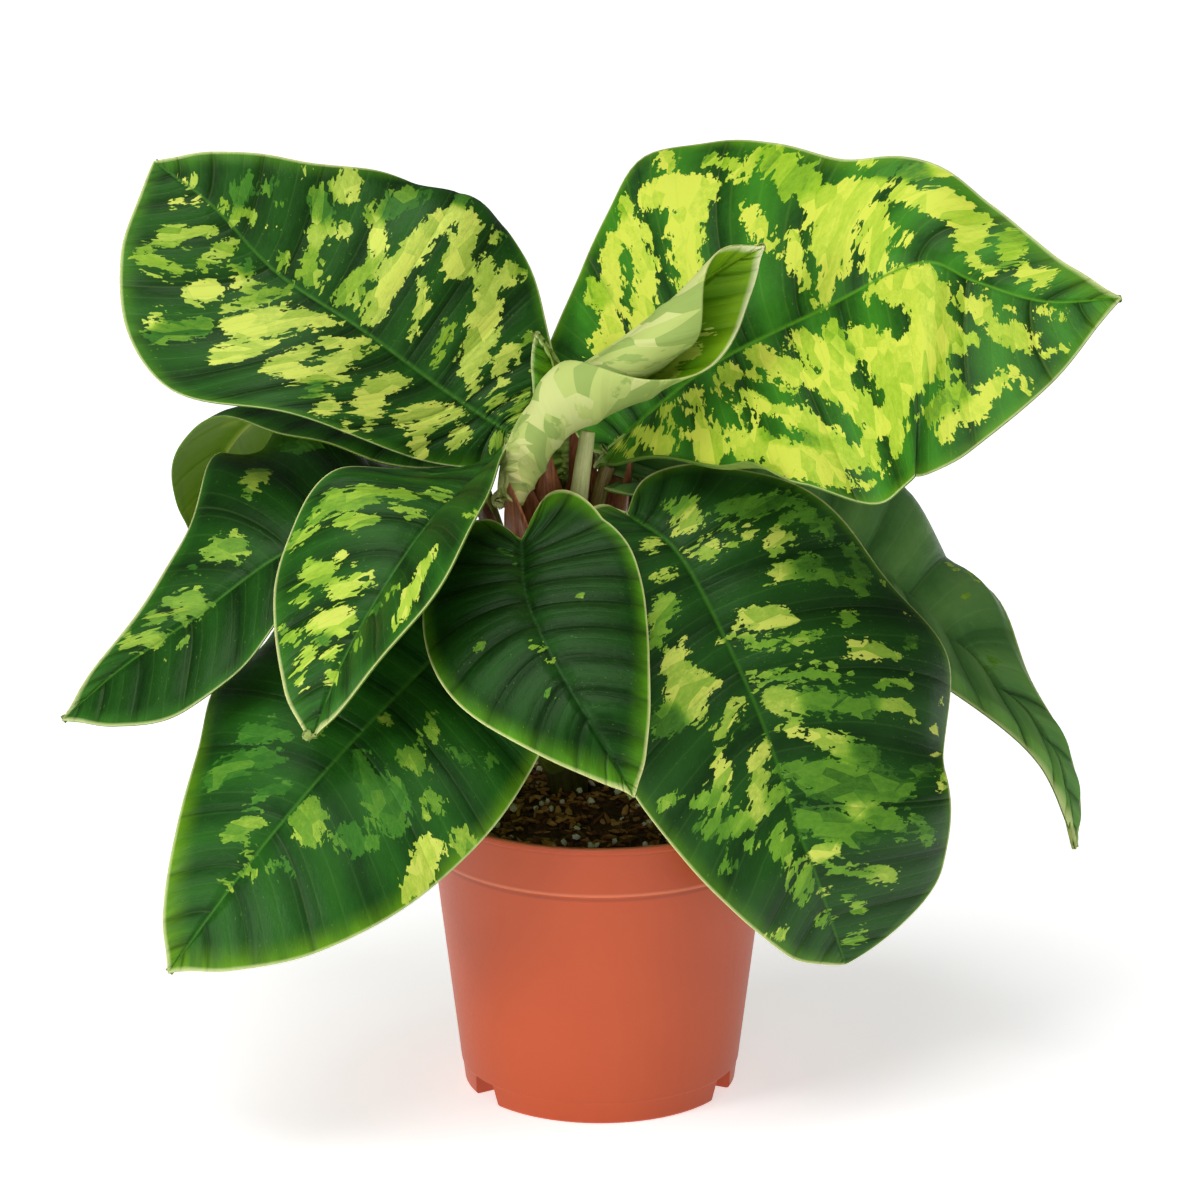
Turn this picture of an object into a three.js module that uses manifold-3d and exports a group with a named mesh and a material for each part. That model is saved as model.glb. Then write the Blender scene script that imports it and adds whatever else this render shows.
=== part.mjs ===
import * as THREE from "three";
import { ConvexGeometry } from "three/addons/geometries/ConvexGeometry.js";
import { mergeVertices } from "three/addons/utils/BufferGeometryUtils.js";
import Module from "manifold-3d";

// A potted camouflage homalomena: a plastic nursery pot full of potting mix, a short stem,
// and twelve leaves, each a petiole and a blade. Millimetres, +Z up, the origin at the
// middle of the pot's underside. The plant is seen from the front along +Y.

const wasm = await Module();
wasm.setup();

const CLEARANCE = 0.3; // between pieces that touch

// The pot: a 12 cm nursery pot with a deep collar, a lip, and a skirt cut by three notches.
const POT = {
  height: 103,
  lipRadius: 60,
  lipHeight: 2.4,
  collarHeight: 18,
  collarTopRadius: 59.3,
  collarBottomRadius: 58.7,
  bodyTopRadius: 57.5,
  skirtTopRadius: 48.2,
  skirtHeight: 7.7,
  skirtLine: 0.35,
  baseRadius: 47.0,
  baseRound: 0.8,
  wall: 1.5,
  sides: 40,
};
const NOTCH = {
  middles: [-56.5, 63.5, 183.5], // degrees round from the front
  reach: 15,
  topWidth: 10.5,
  bottomWidth: 15.5,
  drainWidth: 4,
  drainLength: 6,
};

// The potting mix: bark and coir, mounded round the stem, with grains of perlite.
const SOIL = {
  edgeHeight: 97,
  moundHeight: 101,
  lump: 1.1,
  rings: 7,
  sides: 30,
  perlite: 16,
  perliteRadius: 2.1,
};

// The stem, leaning from the mix up to the crown.
const STEM = {
  foot: [-10, 14, 76],
  top: [-14, 11, 158],
  footRadius: 6.6,
  topRadius: 8.2,
  plainLength: 30, // up to just above the mix
  scarSpacing: 9,
  scarHeight: 0.5,
  sides: 14,
};

// A blade's side veins, base to tip: where one leaves the midrib, where it meets the
// margin (both as shares of the length), and how far out (as a share of the half width).
const VEINS = [
  [0.0, 0.0, 0.0],
  [0.02, -0.07, 0.32],
  [0.06, -0.03, 0.62],
  [0.13, 0.11, 0.86],
  [0.23, 0.28, 0.98],
  [0.36, 0.46, 1.0],
  [0.5, 0.63, 0.91],
  [0.66, 0.79, 0.69],
  [0.82, 0.91, 0.36],
  [0.93, 0.97, 0.11],
  [1.0, 1.0, 0.0],
];
const VEIN_PAIRS = 8;
const VEIN_SWEEP = 1.5;
const FRAME_WINDOW = 0.25; // the share of the midrib that sets the way a blade's halves face
const BLADE_COLUMNS = [0, 0.08, 0.3, 0.55, 0.8, 1];
const BLADE = { thick: 0.8, ridge: 2.2, ridgeHalf: 2.6, quilt: 0.45 };
const PETIOLE = { sides: 7, steps: 8, clasp: 1.5 };

// Every leaf, by where it sits on the plant. A midrib runs from the blade's base to its
// tip. The face is the way that the blade's upper side looks, at its base, middle and tip.
// Each half of a blade leaves the midrib at an angle (lift) and then turns by another
// (curl) on its way to the margin, both in degrees at even stations from base to tip.
const LEAVES = {
  upper_left: {
    midrib: [[-30, 16, 226], [-51, 20, 239], [-81, 26, 260], [-110, 34, 278], [-132, 40, 300], [-152, 46, 314]],
    face: [[0.1, -0.9, 0.4], [0, -0.9, 0.45], [-0.2, -0.8, 0.5]],
    halfWidth: 60,
    right: { width: [14, 27, 38, 48, 63, 74, 58, 43, 42, 48, 54], lobe: 0, sweep: 1.1, lift: [-15, 0, 0, 0], curl: [0, -50, -75, -40], onset: 5 },
    left: { width: [1, 33, 60, 94, 160], lobe: 0, sweep: 0.75, lift: [10, 30, 12, 0], curl: [10, -10, -20, -40], onset: 1.5 },
    wave: { height: 2, count: 3, phase: 0.1 },
    petiole: { from: [-20.4, 15.4, 145], lean: [-0.05, 0.1, 1], reach: 30, radius: 3.4 },
  },
  upper_right: {
    midrib: [[1, 6, 222], [35, 8, 250], [75, 0, 273], [105, -14, 291], [123, -20, 286], [145, -28, 281], [170, -32, 283]],
    face: [[-0.2, -0.85, 0.45], [0, -0.85, 0.5], [0.2, -0.8, 0.5]],
    halfWidth: 66,
    right: { width: [4, 5, 9, 20, 55, 78, 85, 96, 94, 88, 80], lobe: 0.4, sweep: 1.1, lift: [10, 25, 15, 10], curl: [20, 10, -10, 0], onset: 1.5 },
    left: { width: [0, 22, 44, 62, 76, 79, 79, 81, 92, 86, 66, 48, 44, 39, 36, 35, 34, 34, 35, 36, 38], lobe: 0.4, sweep: 1, lift: [-25, -5, 0, 0], curl: [10, -20, -30, -30], onset: 1.5 },
    wave: { height: 2.5, count: 3, phase: 0.35 },
    petiole: { from: [-5.5, 6, 150], lean: [0.05, -0.2, 1], reach: 30, radius: 3.9, to: [3, 5, 218] },
  },
  young: {
    midrib: [[-33, -16, 210], [-30, -10, 223], [-23, -7, 238], [-9, -6, 250], [7, -6, 261], [25, -9, 276], [39, -13, 288], [54, -17, 297]],
    face: [[0.55, -0.8, -0.2], [0.6, -0.75, -0.3], [0.4, -0.9, 0]],
    halfWidth: 60,
    right: { width: [-16, 57, 40, 30, 34], lobe: 0, sweep: 0.8, lift: [0, 0, 10, 20], curl: [650, 420, 270, 60], onset: 1.1 },
    left: { width: [0, 26, 36, 34, 16], lobe: 0, sweep: 0.8, lift: [10, 10, 10, 0], curl: [800, 500, 460, 300], onset: 1.1 },
    wave: { height: 0, count: 3, phase: 0 },
    petiole: { from: [-10, 4, 156], lean: [-0.05, -0.2, 1], reach: 26, radius: 3.9, to: [-4, -4, 232] },
  },
  spear: {
    midrib: [[-14, 17, 210], [-13, 18, 228], [-14, 17, 246], [-22, 14, 261]],
    face: [[-0.5, -0.8, 0], [-0.5, -0.8, 0], [-0.6, -0.6, -0.4]],
    halfWidth: 11,
    right: { width: [11, 11, 11, 11, 11], lobe: 0, sweep: 1, lift: [50, 50, 40, 20], curl: [120, 120, 60, 20], onset: 1 },
    left: { width: [11, 11, 11, 11, 11], lobe: 0, sweep: 1, lift: [50, 50, 40, 20], curl: [60, 60, 20, 0], onset: 1 },
    wave: { height: 0, count: 2, phase: 0 },
    petiole: { from: [-15, 15, 160], lean: [0, 0.05, 1], reach: 16, radius: 2 },
  },
  mid_left: {
    midrib: [[-29, 4, 228], [-43, -18, 217], [-56, -34, 208], [-70, -54, 192], [-83, -66, 171], [-94, -72, 144]],
    face: [[-0.3, -0.3, 0.9], [-0.5, -0.7, 0.5], [-0.4, -0.8, 0.35]],
    halfWidth: 44,
    right: { width: [5, 29, 45, 45, 78], lobe: 0.2, sweep: 0.85, lift: [-45, 24, 6, 5], curl: [-10, -15, -20, -20], onset: 1.3 },
    left: { width: [0, 3, 45, 33, 12], lobe: 0.2, sweep: 1, lift: [30, 40, 40, 30], curl: [0, -20, -20, 0], onset: 1.3 },
    wave: { height: 1.5, count: 3, phase: 0.2 },
    petiole: { from: [-21, 8, 150], lean: [-0.35, -0.1, 1], reach: 34, radius: 3.1 },
  },
  far_left: {
    midrib: [[-52, 14, 194], [-80, 2, 199], [-108, -10, 190], [-135, -20, 172], [-160, -28, 156], [-180, -32, 139]],
    face: [[-0.2, -0.6, 0.75], [-0.4, -0.65, 0.65], [-0.5, -0.7, 0.5]],
    halfWidth: 44,
    right: { width: [6, 30, 62, 86, 82, 46, 26, 16, 15, 14, 14], lobe: 1, sweep: 1, lift: [-10, 5, 5, 5], curl: [-20, -24, -28, -20], onset: 1.3 },
    left: { width: [6, 20, 26, 50, 62], lobe: 1, sweep: 1, lift: [20, 20, 15, 10], curl: [-10, -30, -40, -20], onset: 1.3 },
    wave: { height: 2, count: 4, phase: 0.6 },
    petiole: { from: [-20, 11.8, 118], lean: [-0.5, 0, 1], reach: 30, radius: 3.2 },
  },
  back_left: {
    midrib: [[-45, 36, 217], [-77, 64, 222], [-110, 87, 221], [-133, 100, 203], [-148, 104, 166]],
    face: [[-0.2, -0.1, 1], [-0.3, 0.1, 0.9], [-0.6, 0.7, 0.3]],
    halfWidth: 38,
    right: { width: [28, 34, 38, 38, 38], lobe: 1, sweep: 1, lift: [15, 10, 5, 0], curl: [-20, -30, -30, -20], onset: 1.3 },
    left: { width: [34, 34, 34, 35, 36], lobe: 1, sweep: 1, lift: [7, 11, 13, 6], curl: [-20, -26, -26, -20], onset: 1.3 },
    wave: { height: 1.5, count: 3, phase: 0.5 },
    petiole: { from: [-17.6, 18.2, 128], lean: [-0.3, 0.3, 1], reach: 34, radius: 3 },
  },
  low_left: {
    midrib: [[-37, -22, 178], [-57, -38, 161], [-88, -60, 133], [-115, -74, 103], [-142, -80, 67]],
    face: [[-0.2, -0.6, 0.8], [-0.3, -0.75, 0.6], [-0.35, -0.85, 0.4]],
    halfWidth: 48,
    right: { width: [18, 28, 41, 54, 66, 63, 50, 39, 40, 44, 42], lobe: 1, sweep: 1, lift: [15, 8, 5, 5], curl: [-10, -30, -30, -20], onset: 1.3 },
    left: { width: [44, 57, 57, 52, 48], lobe: 1, sweep: 1, lift: [15, 8, 5, 5], curl: [-10, -30, -30, -20], onset: 1.3 },
    wave: { height: 1.5, count: 3, phase: 0.8 },
    petiole: { from: [-17.5, 6.9, 108], lean: [-0.6, -0.4, 1], reach: 26, radius: 3.4 },
  },
  front: {
    midrib: [[-26, -30, 201], [-24, -56, 189], [-16, -78, 176], [-3, -96, 158], [11, -100, 134]],
    face: [[-0.1, -0.6, 0.8], [0, -0.8, 0.6], [0, -0.9, 0.4]],
    halfWidth: 40,
    right: { width: [30, 34, 36, 22, 12], lobe: 1.3, sweep: 1, lift: [12, 8, 5, 5], curl: [-10, -30, -30, -20], onset: 1.3 },
    left: { width: [30, 41, 36, 28, 36], lobe: 2.5, sweep: 1, lift: [12, 4, 0, 0], curl: [-10, -30, -40, -30], onset: 1.3 },
    wave: { height: 1, count: 2, phase: 0.3 },
    petiole: { from: [-14.3, 4.2, 128], lean: [-0.1, -0.5, 1], reach: 26, radius: 2.8 },
  },
  low_right: {
    midrib: [[9, -14, 206], [27, -30, 195], [47, -50, 160], [58, -62, 134], [65, -70, 113], [71, -72, 98], [82, -56, 61]],
    face: [[0.1, -0.5, 0.85], [0.15, -0.8, 0.55], [0.15, -0.95, 0.2]],
    halfWidth: 58,
    right: { width: [0, 38, 50, 44, 100], lobe: 0.6, sweep: 1, lift: [10, 4, 4, 5], curl: [10, -20, -40, -40], onset: 1.3 },
    left: { width: [40, 50, 78, 95, 300], lobe: 0.6, sweep: 1, lift: [15, 8, 5, 5], curl: [-10, -30, -40, -40], onset: 1.3 },
    wave: { height: 2, count: 3, phase: 0.15 },
    petiole: { from: [-6, 7.2, 120], lean: [0.3, -0.3, 1], reach: 30, radius: 3.6 },
  },
  far_right: {
    midrib: [[14, 14, 209], [55, 24, 204], [97, 30, 174], [133, 26, 138], [156, 20, 112], [166, 16, 77]],
    face: [[0.2, -0.2, 0.95], [0.5, -0.4, 0.75], [0.6, -0.7, 0.3]],
    halfWidth: 42,
    right: { width: [22, 34, 33, 17, 8], lobe: 1, sweep: 1, lift: [15, 15, 15, 15], curl: [-10, -30, -30, -20], onset: 1.3 },
    left: { width: [22, 23, 30, 44, 66, 72, 56, 18, 18, 34, 30], lobe: 1, sweep: 1.15, lift: [15, 15, 10, 0], curl: [-20, -30, -40, -40], onset: 1.3 },
    wave: { height: 3, count: 4, phase: 0.4 },
    petiole: { from: [-4.8, 13.4, 132], lean: [0.2, 0.05, 1], reach: 30, radius: 3.2 },
  },
  back: {
    midrib: [[-3, 54, 214], [4, 80, 226], [9, 107, 224], [13, 131, 208], [15, 146, 184]],
    face: [[0, -0.3, 1], [0, 0.1, 1], [0.1, 0.6, 0.7]],
    halfWidth: 42,
    right: { width: [4, 28, 42, 42, 42], lobe: 1, sweep: 1, lift: [15, 8, 5, 5], curl: [-10, -30, -30, -20], onset: 1.3 },
    left: { width: [20, 34, 40, 42, 42], lobe: 1, sweep: 1, lift: [15, 8, 5, 5], curl: [-10, -30, -30, -20], onset: 1.3 },
    wave: { height: 1.5, count: 3, phase: 0.9 },
    petiole: { from: [-11, 19.4, 140], lean: [0.05, 0.4, 1], reach: 30, radius: 3.2 },
  },
};

// The papery sheaths that stand among the petioles, each from the stem to a pointed tip.
const SHEATHS = {
  left: { from: [-23, 5, 148], lean: [-0.2, -0.6, 1], tip: [-30, -24, 219], width: 11 },
  front: { from: [-16, 2, 150], lean: [-0.25, -0.35, 1], tip: [-27, -6, 220], width: 8 },
  middle: { from: [-10, 3, 152], lean: [-0.2, -0.2, 1], tip: [-17, -2, 224], width: 7 },
  right: { from: [-5, 8, 154], lean: [0.1, -0.1, 1], tip: [-5, 1, 228], width: 6 },
  back: { from: [-16, 20, 154], lean: [-0.1, 0.25, 1], tip: [-9, 23, 240], width: 13 },
  back_right: { from: [-8, 17, 150], lean: [0.4, 0.35, 1], tip: [11, 22, 230], width: 10 },
  low_left: { from: [-21, 12, 144], lean: [-0.5, 0.15, 1], tip: [-44, 10, 212], width: 9 },
  low_right: { from: [-6, 9, 140], lean: [0.5, -0.05, 1], tip: [11, 8, 224], width: 8 },
};
const SHEATH = { thick: 0.9, sides: 8, steps: 7 };

const COLOURS = {
  pot: 0xc8633f,
  soil: 0x3a2417,
  stem: 0x8f9a4a,
  petiole: 0xa9b45c,
  sheath: 0x9a5c3a,
  blade: 0x1f6b2c,
  youngBlade: 0xa8c46a,
};

const toRadians = Math.PI / 180;

// A smooth curve through a list of numbers, or of points, that starts at 0 and ends at 1.
function along(list, share) {
  const spans = list.length - 1;
  const place = Math.min(Math.max(share, 0), 1) * spans;
  const i = Math.min(Math.floor(place), spans - 1);
  const t = place - i;
  const mixed = (before, a, b, after) =>
    a + 0.5 * t * (b - before + t * (2 * before - 5 * a + 4 * b - after + t * (3 * (a - b) + after - before)));
  const pick = (j, axis) => {
    const read = (k) => (axis === undefined ? list[k] : list[k][axis]);
    if (j < 0) return 2 * read(0) - read(1);
    if (j > spans) return 2 * read(spans) - read(spans - 1);
    return read(j);
  };
  const value = (axis) => mixed(pick(i - 1, axis), pick(i, axis), pick(i + 1, axis), pick(i + 2, axis));
  return Array.isArray(list[0]) ? list[0].map((_, axis) => value(axis)) : value();
}

const vector = (point) => new THREE.Vector3(...point);

// The midrib by true length: its place, its direction and the blade's side and upward
// directions at a share of the length, running on straight below 0.
function midribOf(leaf) {
  const samples = 80;
  const points = [];
  for (let i = 0; i <= samples; i++) points.push(vector(along(leaf.midrib, i / samples)));
  const reached = [0];
  for (let i = 1; i <= samples; i++) reached.push(reached[i - 1] + points[i].distanceTo(points[i - 1]));
  const length = reached[samples];
  const curveShare = (share) => {
    const wanted = Math.min(Math.max(share, 0), 1) * length;
    let i = 1;
    while (i < samples && reached[i] < wanted) i++;
    return (i - 1 + (wanted - reached[i - 1]) / (reached[i] - reached[i - 1])) / samples;
  };
  const frame = (share) => {
    const t = curveShare(share);
    const direction = (window) => {
      const [low, high] = [Math.max(t - window, 0), Math.min(t + window, 1)];
      return vector(along(leaf.midrib, high)).sub(vector(along(leaf.midrib, low))).normalize();
    };
    const forward = direction(FRAME_WINDOW);
    const up = vector(along(leaf.face, Math.min(Math.max(share, 0), 1)));
    up.addScaledVector(forward, -up.dot(forward)).normalize();
    const place = vector(along(leaf.midrib, t)).addScaledVector(direction(0.01), Math.min(share, 0) * length);
    return { place, forward, up, side: forward.clone().cross(up) };
  };
  return { length, frame };
}

// One point of a blade's upper side. share runs from base to tip along the side veins,
// out from the midrib (0) to the margin (1), and sign is 1 for the right half, -1 the left.
function bladePoint(leaf, midrib, share, out, sign, grow = 0) {
  const half = sign > 0 ? leaf.right : leaf.left;
  const [leaves] = along(VEINS, share);
  const [, meets, reach] = along(VEINS, share ** half.sweep);
  const lobed = meets < 0 ? meets * half.lobe : meets;
  const place = leaves + (lobed - leaves) * out ** VEIN_SWEEP;
  const across = Math.max(reach, 0) * Math.max(along(half.width, share), 1) * out + grow * out;
  const { place: point, up, side } = midrib.frame(place);
  const lift = along(half.lift, place) * toRadians;
  const curl = along(half.curl, place) * toRadians;
  const turn = (distance) => lift + curl * (distance / leaf.halfWidth) ** half.onset;
  const steps = 10;
  let sideways = 0;
  let upwards = 0;
  for (let i = 0; i < steps; i++) {
    const angle = turn((across * (i + 0.5)) / steps);
    sideways += (Math.cos(angle) * across) / steps;
    upwards += (Math.sin(angle) * across) / steps;
  }
  const edge = (across / leaf.halfWidth) ** 2;
  const wave = leaf.wave.height * edge * Math.sin(2 * Math.PI * (leaf.wave.count * place + leaf.wave.phase * sign));
  const quilt = -BLADE.quilt * Math.cos(2 * Math.PI * VEIN_PAIRS * share) * Math.sin(Math.PI * out) * Math.max(reach, 0);
  const angle = turn(across);
  const lifted = wave + quilt;
  sideways -= Math.sin(angle) * lifted;
  upwards += Math.cos(angle) * lifted;
  return point.addScaledVector(side, sign * sideways).addScaledVector(up, upwards);
}

// A blade as a closed sheet: an upper grid that narrows to one point at the base and at
// the tip, the same grid moved down by the thickness, and a strip round the margin.
function bladeGeometry(leaf, grow = 0) {
  const midrib = midribOf(leaf);
  const rows = 2 * VEIN_PAIRS;
  const columns = [...BLADE_COLUMNS.slice(1).reverse().map((s) => -s), ...BLADE_COLUMNS];
  const width = columns.length;
  const upper = [];
  const rib = [];
  const add = (share, column) => {
    const out = Math.abs(column);
    upper.push(bladePoint(leaf, midrib, share, out, Math.sign(column) || 1, grow));
    const across = out * Math.max(along(VEINS, share)[2], 0) * leaf.halfWidth;
    const depth = BLADE.ridge * (1 - share) ** 0.7 * Math.exp(-((across / (BLADE.ridgeHalf + 2 * grow)) ** 2));
    rib.push(depth);
  };
  add(0, 0);
  upper[0].addScaledVector(midrib.frame(0).forward, -4 * grow);
  for (let i = 1; i < rows; i++) for (const column of columns) add(i / rows, column);
  add(1, 0);
  const at = (row, column) => {
    if (row === 0) return 0;
    if (row === rows) return upper.length - 1;
    return 1 + (row - 1) * width + column;
  };
  const faces = [];
  for (let i = 0; i < rows; i++) {
    for (let j = 0; j < width - 1; j++) {
      const corners = [at(i, j), at(i, j + 1), at(i + 1, j + 1), at(i + 1, j)];
      if (i < rows - 1) faces.push([corners[0], corners[2], corners[3]]);
      if (i > 0) faces.push([corners[0], corners[1], corners[2]]);
    }
  }
  const sheet = new THREE.BufferGeometry().setFromPoints(upper);
  sheet.setIndex(faces.flat());
  sheet.computeVertexNormals();
  const normals = sheet.getAttribute("normal");
  const normal = (i) => new THREE.Vector3().fromBufferAttribute(normals, i);
  const lower = upper.map((p, i) => p.clone().addScaledVector(normal(i), -(BLADE.thick + rib[i] + grow)));
  const raised = upper.map((p, i) => p.clone().addScaledVector(normal(i), grow));
  const outline = [0];
  for (let i = 1; i < rows; i++) outline.push(at(i, width - 1));
  outline.push(upper.length - 1);
  for (let i = rows - 1; i > 0; i--) outline.push(at(i, 0));
  const shift = upper.length;
  const closed = [...faces, ...faces.map(([a, b, c]) => [a + shift, c + shift, b + shift])];
  outline.forEach((a, i) => {
    const b = outline[(i + 1) % outline.length];
    closed.push([a, a + shift, b + shift], [a, b + shift, b]);
  });
  const geometry = new THREE.BufferGeometry().setFromPoints([...raised, ...lower]);
  geometry.setIndex(closed.flat());
  return geometry;
}

// A solid from a closed geometry, turned face out if it came inside out.
function solid(geometry) {
  const bare = geometry.index ? geometry.toNonIndexed() : geometry.clone();
  for (const name of Object.keys(bare.attributes)) if (name !== "position") bare.deleteAttribute(name);
  const merged = mergeVertices(bare, 1e-3);
  const triVerts = new Uint32Array(merged.index.array);
  const vertProperties = merged.attributes.position.array;
  const made = new wasm.Manifold(new wasm.Mesh({ numProp: 3, vertProperties, triVerts }));
  if (made.volume() > 0) return made;
  for (let i = 0; i < triVerts.length; i += 3) [triVerts[i], triVerts[i + 1]] = [triVerts[i + 1], triVerts[i]];
  return new wasm.Manifold(new wasm.Mesh({ numProp: 3, vertProperties, triVerts }));
}

function geometryOf(made) {
  const { numProp, numVert, vertProperties, triVerts } = made.getMesh();
  const positions = new Float32Array(numVert * 3);
  for (let i = 0; i < numVert; i++) positions.set(vertProperties.subarray(i * numProp, i * numProp + 3), i * 3);
  const geometry = new THREE.BufferGeometry();
  geometry.setAttribute("position", new THREE.BufferAttribute(positions, 3));
  geometry.setIndex(new THREE.BufferAttribute(new Uint32Array(triVerts), 1));
  geometry.computeVertexNormals();
  return geometry;
}

function lathe(profile, sides) {
  const points = profile.map(([radius, height]) => new THREE.Vector2(radius, height));
  return new THREE.LatheGeometry(points, sides).rotateX(Math.PI / 2);
}

// The pot's outline from the middle of its base up to its lip, moved in by inset.
function potOutline(inset) {
  const bottom = inset;
  const collarFoot = POT.height - POT.collarHeight;
  const lipFoot = POT.height - POT.lipHeight;
  return [
    [0, bottom],
    [POT.baseRadius - POT.baseRound - inset, bottom],
    [POT.baseRadius - inset, bottom + POT.baseRound],
    [POT.skirtTopRadius - POT.skirtLine - inset, POT.skirtHeight],
    [POT.skirtTopRadius - inset, POT.skirtHeight + 0.3],
    [POT.bodyTopRadius - inset, collarFoot],
    [POT.collarBottomRadius - inset, collarFoot + 0.6],
    [POT.collarTopRadius - inset, lipFoot],
    [POT.lipRadius - inset, lipFoot + 0.3],
    [POT.lipRadius - inset, POT.height - 0.5],
    [POT.lipRadius - 0.5 - inset, POT.height],
  ];
}

// One wedge under the pot's edge, whose roof slopes down and inwards.
function notchWedge(middle, grow) {
  const outer = POT.skirtTopRadius + 5;
  const inner = POT.skirtTopRadius - NOTCH.reach - grow;
  const roof = POT.skirtHeight + grow;
  const foot = -2;
  const points = [];
  for (const sign of [-1, 1]) {
    const top = sign * (NOTCH.topWidth / 2 + grow);
    const bottom = sign * (NOTCH.bottomWidth / 2 + grow);
    points.push(new THREE.Vector3(top, -outer, roof), new THREE.Vector3(top, -(POT.skirtTopRadius - 3), roof));
    points.push(new THREE.Vector3(bottom, -outer, foot), new THREE.Vector3(bottom, -inner, foot));
    points.push(new THREE.Vector3(bottom, -inner, grow * 1.1));
  }
  return solid(new ConvexGeometry(points).rotateZ(middle * toRadians));
}

function pot() {
  const outside = [...potOutline(0), [0, POT.height]];
  const rim = POT.height + 5;
  const inside = [...potOutline(POT.wall).slice(0, 10), [POT.lipRadius - POT.wall, rim], [0, rim]];
  let body = solid(lathe(outside, POT.sides));
  let hollow = solid(lathe(inside, POT.sides));
  for (const middle of NOTCH.middles) {
    body = body.subtract(notchWedge(middle, 0));
    hollow = hollow.subtract(notchWedge(middle, POT.wall));
  }
  body = body.subtract(hollow);
  for (const middle of NOTCH.middles) {
    const slot = new THREE.BoxGeometry(NOTCH.drainWidth, NOTCH.drainLength, 14);
    slot.translate(0, -(POT.skirtTopRadius - 8), 5).rotateZ(middle * toRadians);
    body = body.subtract(solid(slot));
  }
  return body;
}

// A repeatable random number from 0 to 1.
function randomFrom(seed) {
  let state = seed;
  return () => {
    state = (state * 1664525 + 1013904223) % 4294967296;
    return state / 4294967296;
  };
}

function soilHeight(x, y) {
  const radius = Math.hypot(x, y);
  const mound = Math.exp(-(((x - STEM.foot[0]) ** 2 + (y - STEM.foot[1]) ** 2) / 900));
  const level = SOIL.edgeHeight + (SOIL.moundHeight - SOIL.edgeHeight) * mound;
  const lumps = Math.sin(x * 0.55 + 1.3 * Math.sin(y * 0.31)) + Math.sin(y * 0.62 + 1.7 * Math.sin(x * 0.27 + 1));
  return level + SOIL.lump * 0.5 * lumps * (radius > 50 ? 0.4 : 1);
}

// The stem as radius against height: plain in the mix, then drawn in at each leaf scar.
function stemProfile(grow) {
  const length = STEM.top[2] - STEM.foot[2];
  const profile = [[0, -grow], [STEM.footRadius + grow, -grow]];
  const rings = Math.round((length - STEM.plainLength) / STEM.scarSpacing);
  for (let i = 0; i <= rings; i++) {
    const height = STEM.plainLength + ((length - STEM.plainLength) * i) / rings;
    const radius = STEM.footRadius + (STEM.topRadius - STEM.footRadius) * (i / rings) + grow;
    profile.push([radius, height - 1.2]);
    if (i < rings) profile.push([radius - STEM.scarHeight, height]);
  }
  profile.push([STEM.topRadius * 0.6 + grow, length + 2], [0, length + 3.5 + grow]);
  return profile;
}

function stem(grow = 0) {
  const foot = vector(STEM.foot);
  const axis = vector(STEM.top).sub(foot).normalize();
  const turn = new THREE.Quaternion().setFromUnitVectors(new THREE.Vector3(0, 0, 1), axis);
  const geometry = lathe(stemProfile(grow), STEM.sides).applyQuaternion(turn);
  return solid(geometry.translate(foot.x, foot.y, foot.z));
}

function soil() {
  const inset = POT.wall + CLEARANCE;
  const sideOutline = potOutline(inset).filter(([, height]) => height < SOIL.edgeHeight - 6);
  const edge = POT.collarTopRadius - inset - 0.4;
  const points = [new THREE.Vector3(0, 0, inset)];
  const rings = [];
  const ring = (radius, heightAt) => {
    rings.push(points.length);
    for (let i = 0; i < SOIL.sides; i++) {
      const angle = (2 * Math.PI * i) / SOIL.sides;
      const x = radius * Math.cos(angle);
      const y = radius * Math.sin(angle);
      points.push(new THREE.Vector3(x, y, heightAt(x, y)));
    }
  };
  for (const [radius, height] of sideOutline.slice(1)) ring(radius, () => height);
  for (let i = SOIL.rings; i > 0; i--) ring((edge * i) / SOIL.rings, soilHeight);
  points.push(new THREE.Vector3(0, 0, soilHeight(0, 0)));
  const faces = [];
  for (let i = 0; i < SOIL.sides; i++) {
    const next = (i + 1) % SOIL.sides;
    faces.push([0, rings[0] + next, rings[0] + i]);
    for (let j = 0; j < rings.length - 1; j++) {
      const [low, high] = [rings[j], rings[j + 1]];
      faces.push([low + i, low + next, high + next], [low + i, high + next, high + i]);
    }
    const last = rings[rings.length - 1];
    faces.push([points.length - 1, last + i, last + next]);
  }
  const geometry = new THREE.BufferGeometry().setFromPoints(points);
  geometry.setIndex(faces.flat());
  let mix = solid(geometry);
  for (const middle of NOTCH.middles) mix = mix.subtract(notchWedge(middle, inset));
  const random = randomFrom(7);
  for (let i = 0; i < SOIL.perlite; i++) {
    const angle = 2 * Math.PI * random();
    const radius = 14 + 36 * Math.sqrt(random());
    const [x, y] = [radius * Math.cos(angle), radius * Math.sin(angle)];
    const grain = new THREE.IcosahedronGeometry(SOIL.perliteRadius * (0.7 + 0.5 * random()), 0);
    mix = mix.add(solid(grain.translate(x, y, soilHeight(x, y) + 0.4)));
  }
  return mix.subtract(stem(CLEARANCE));
}

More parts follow.
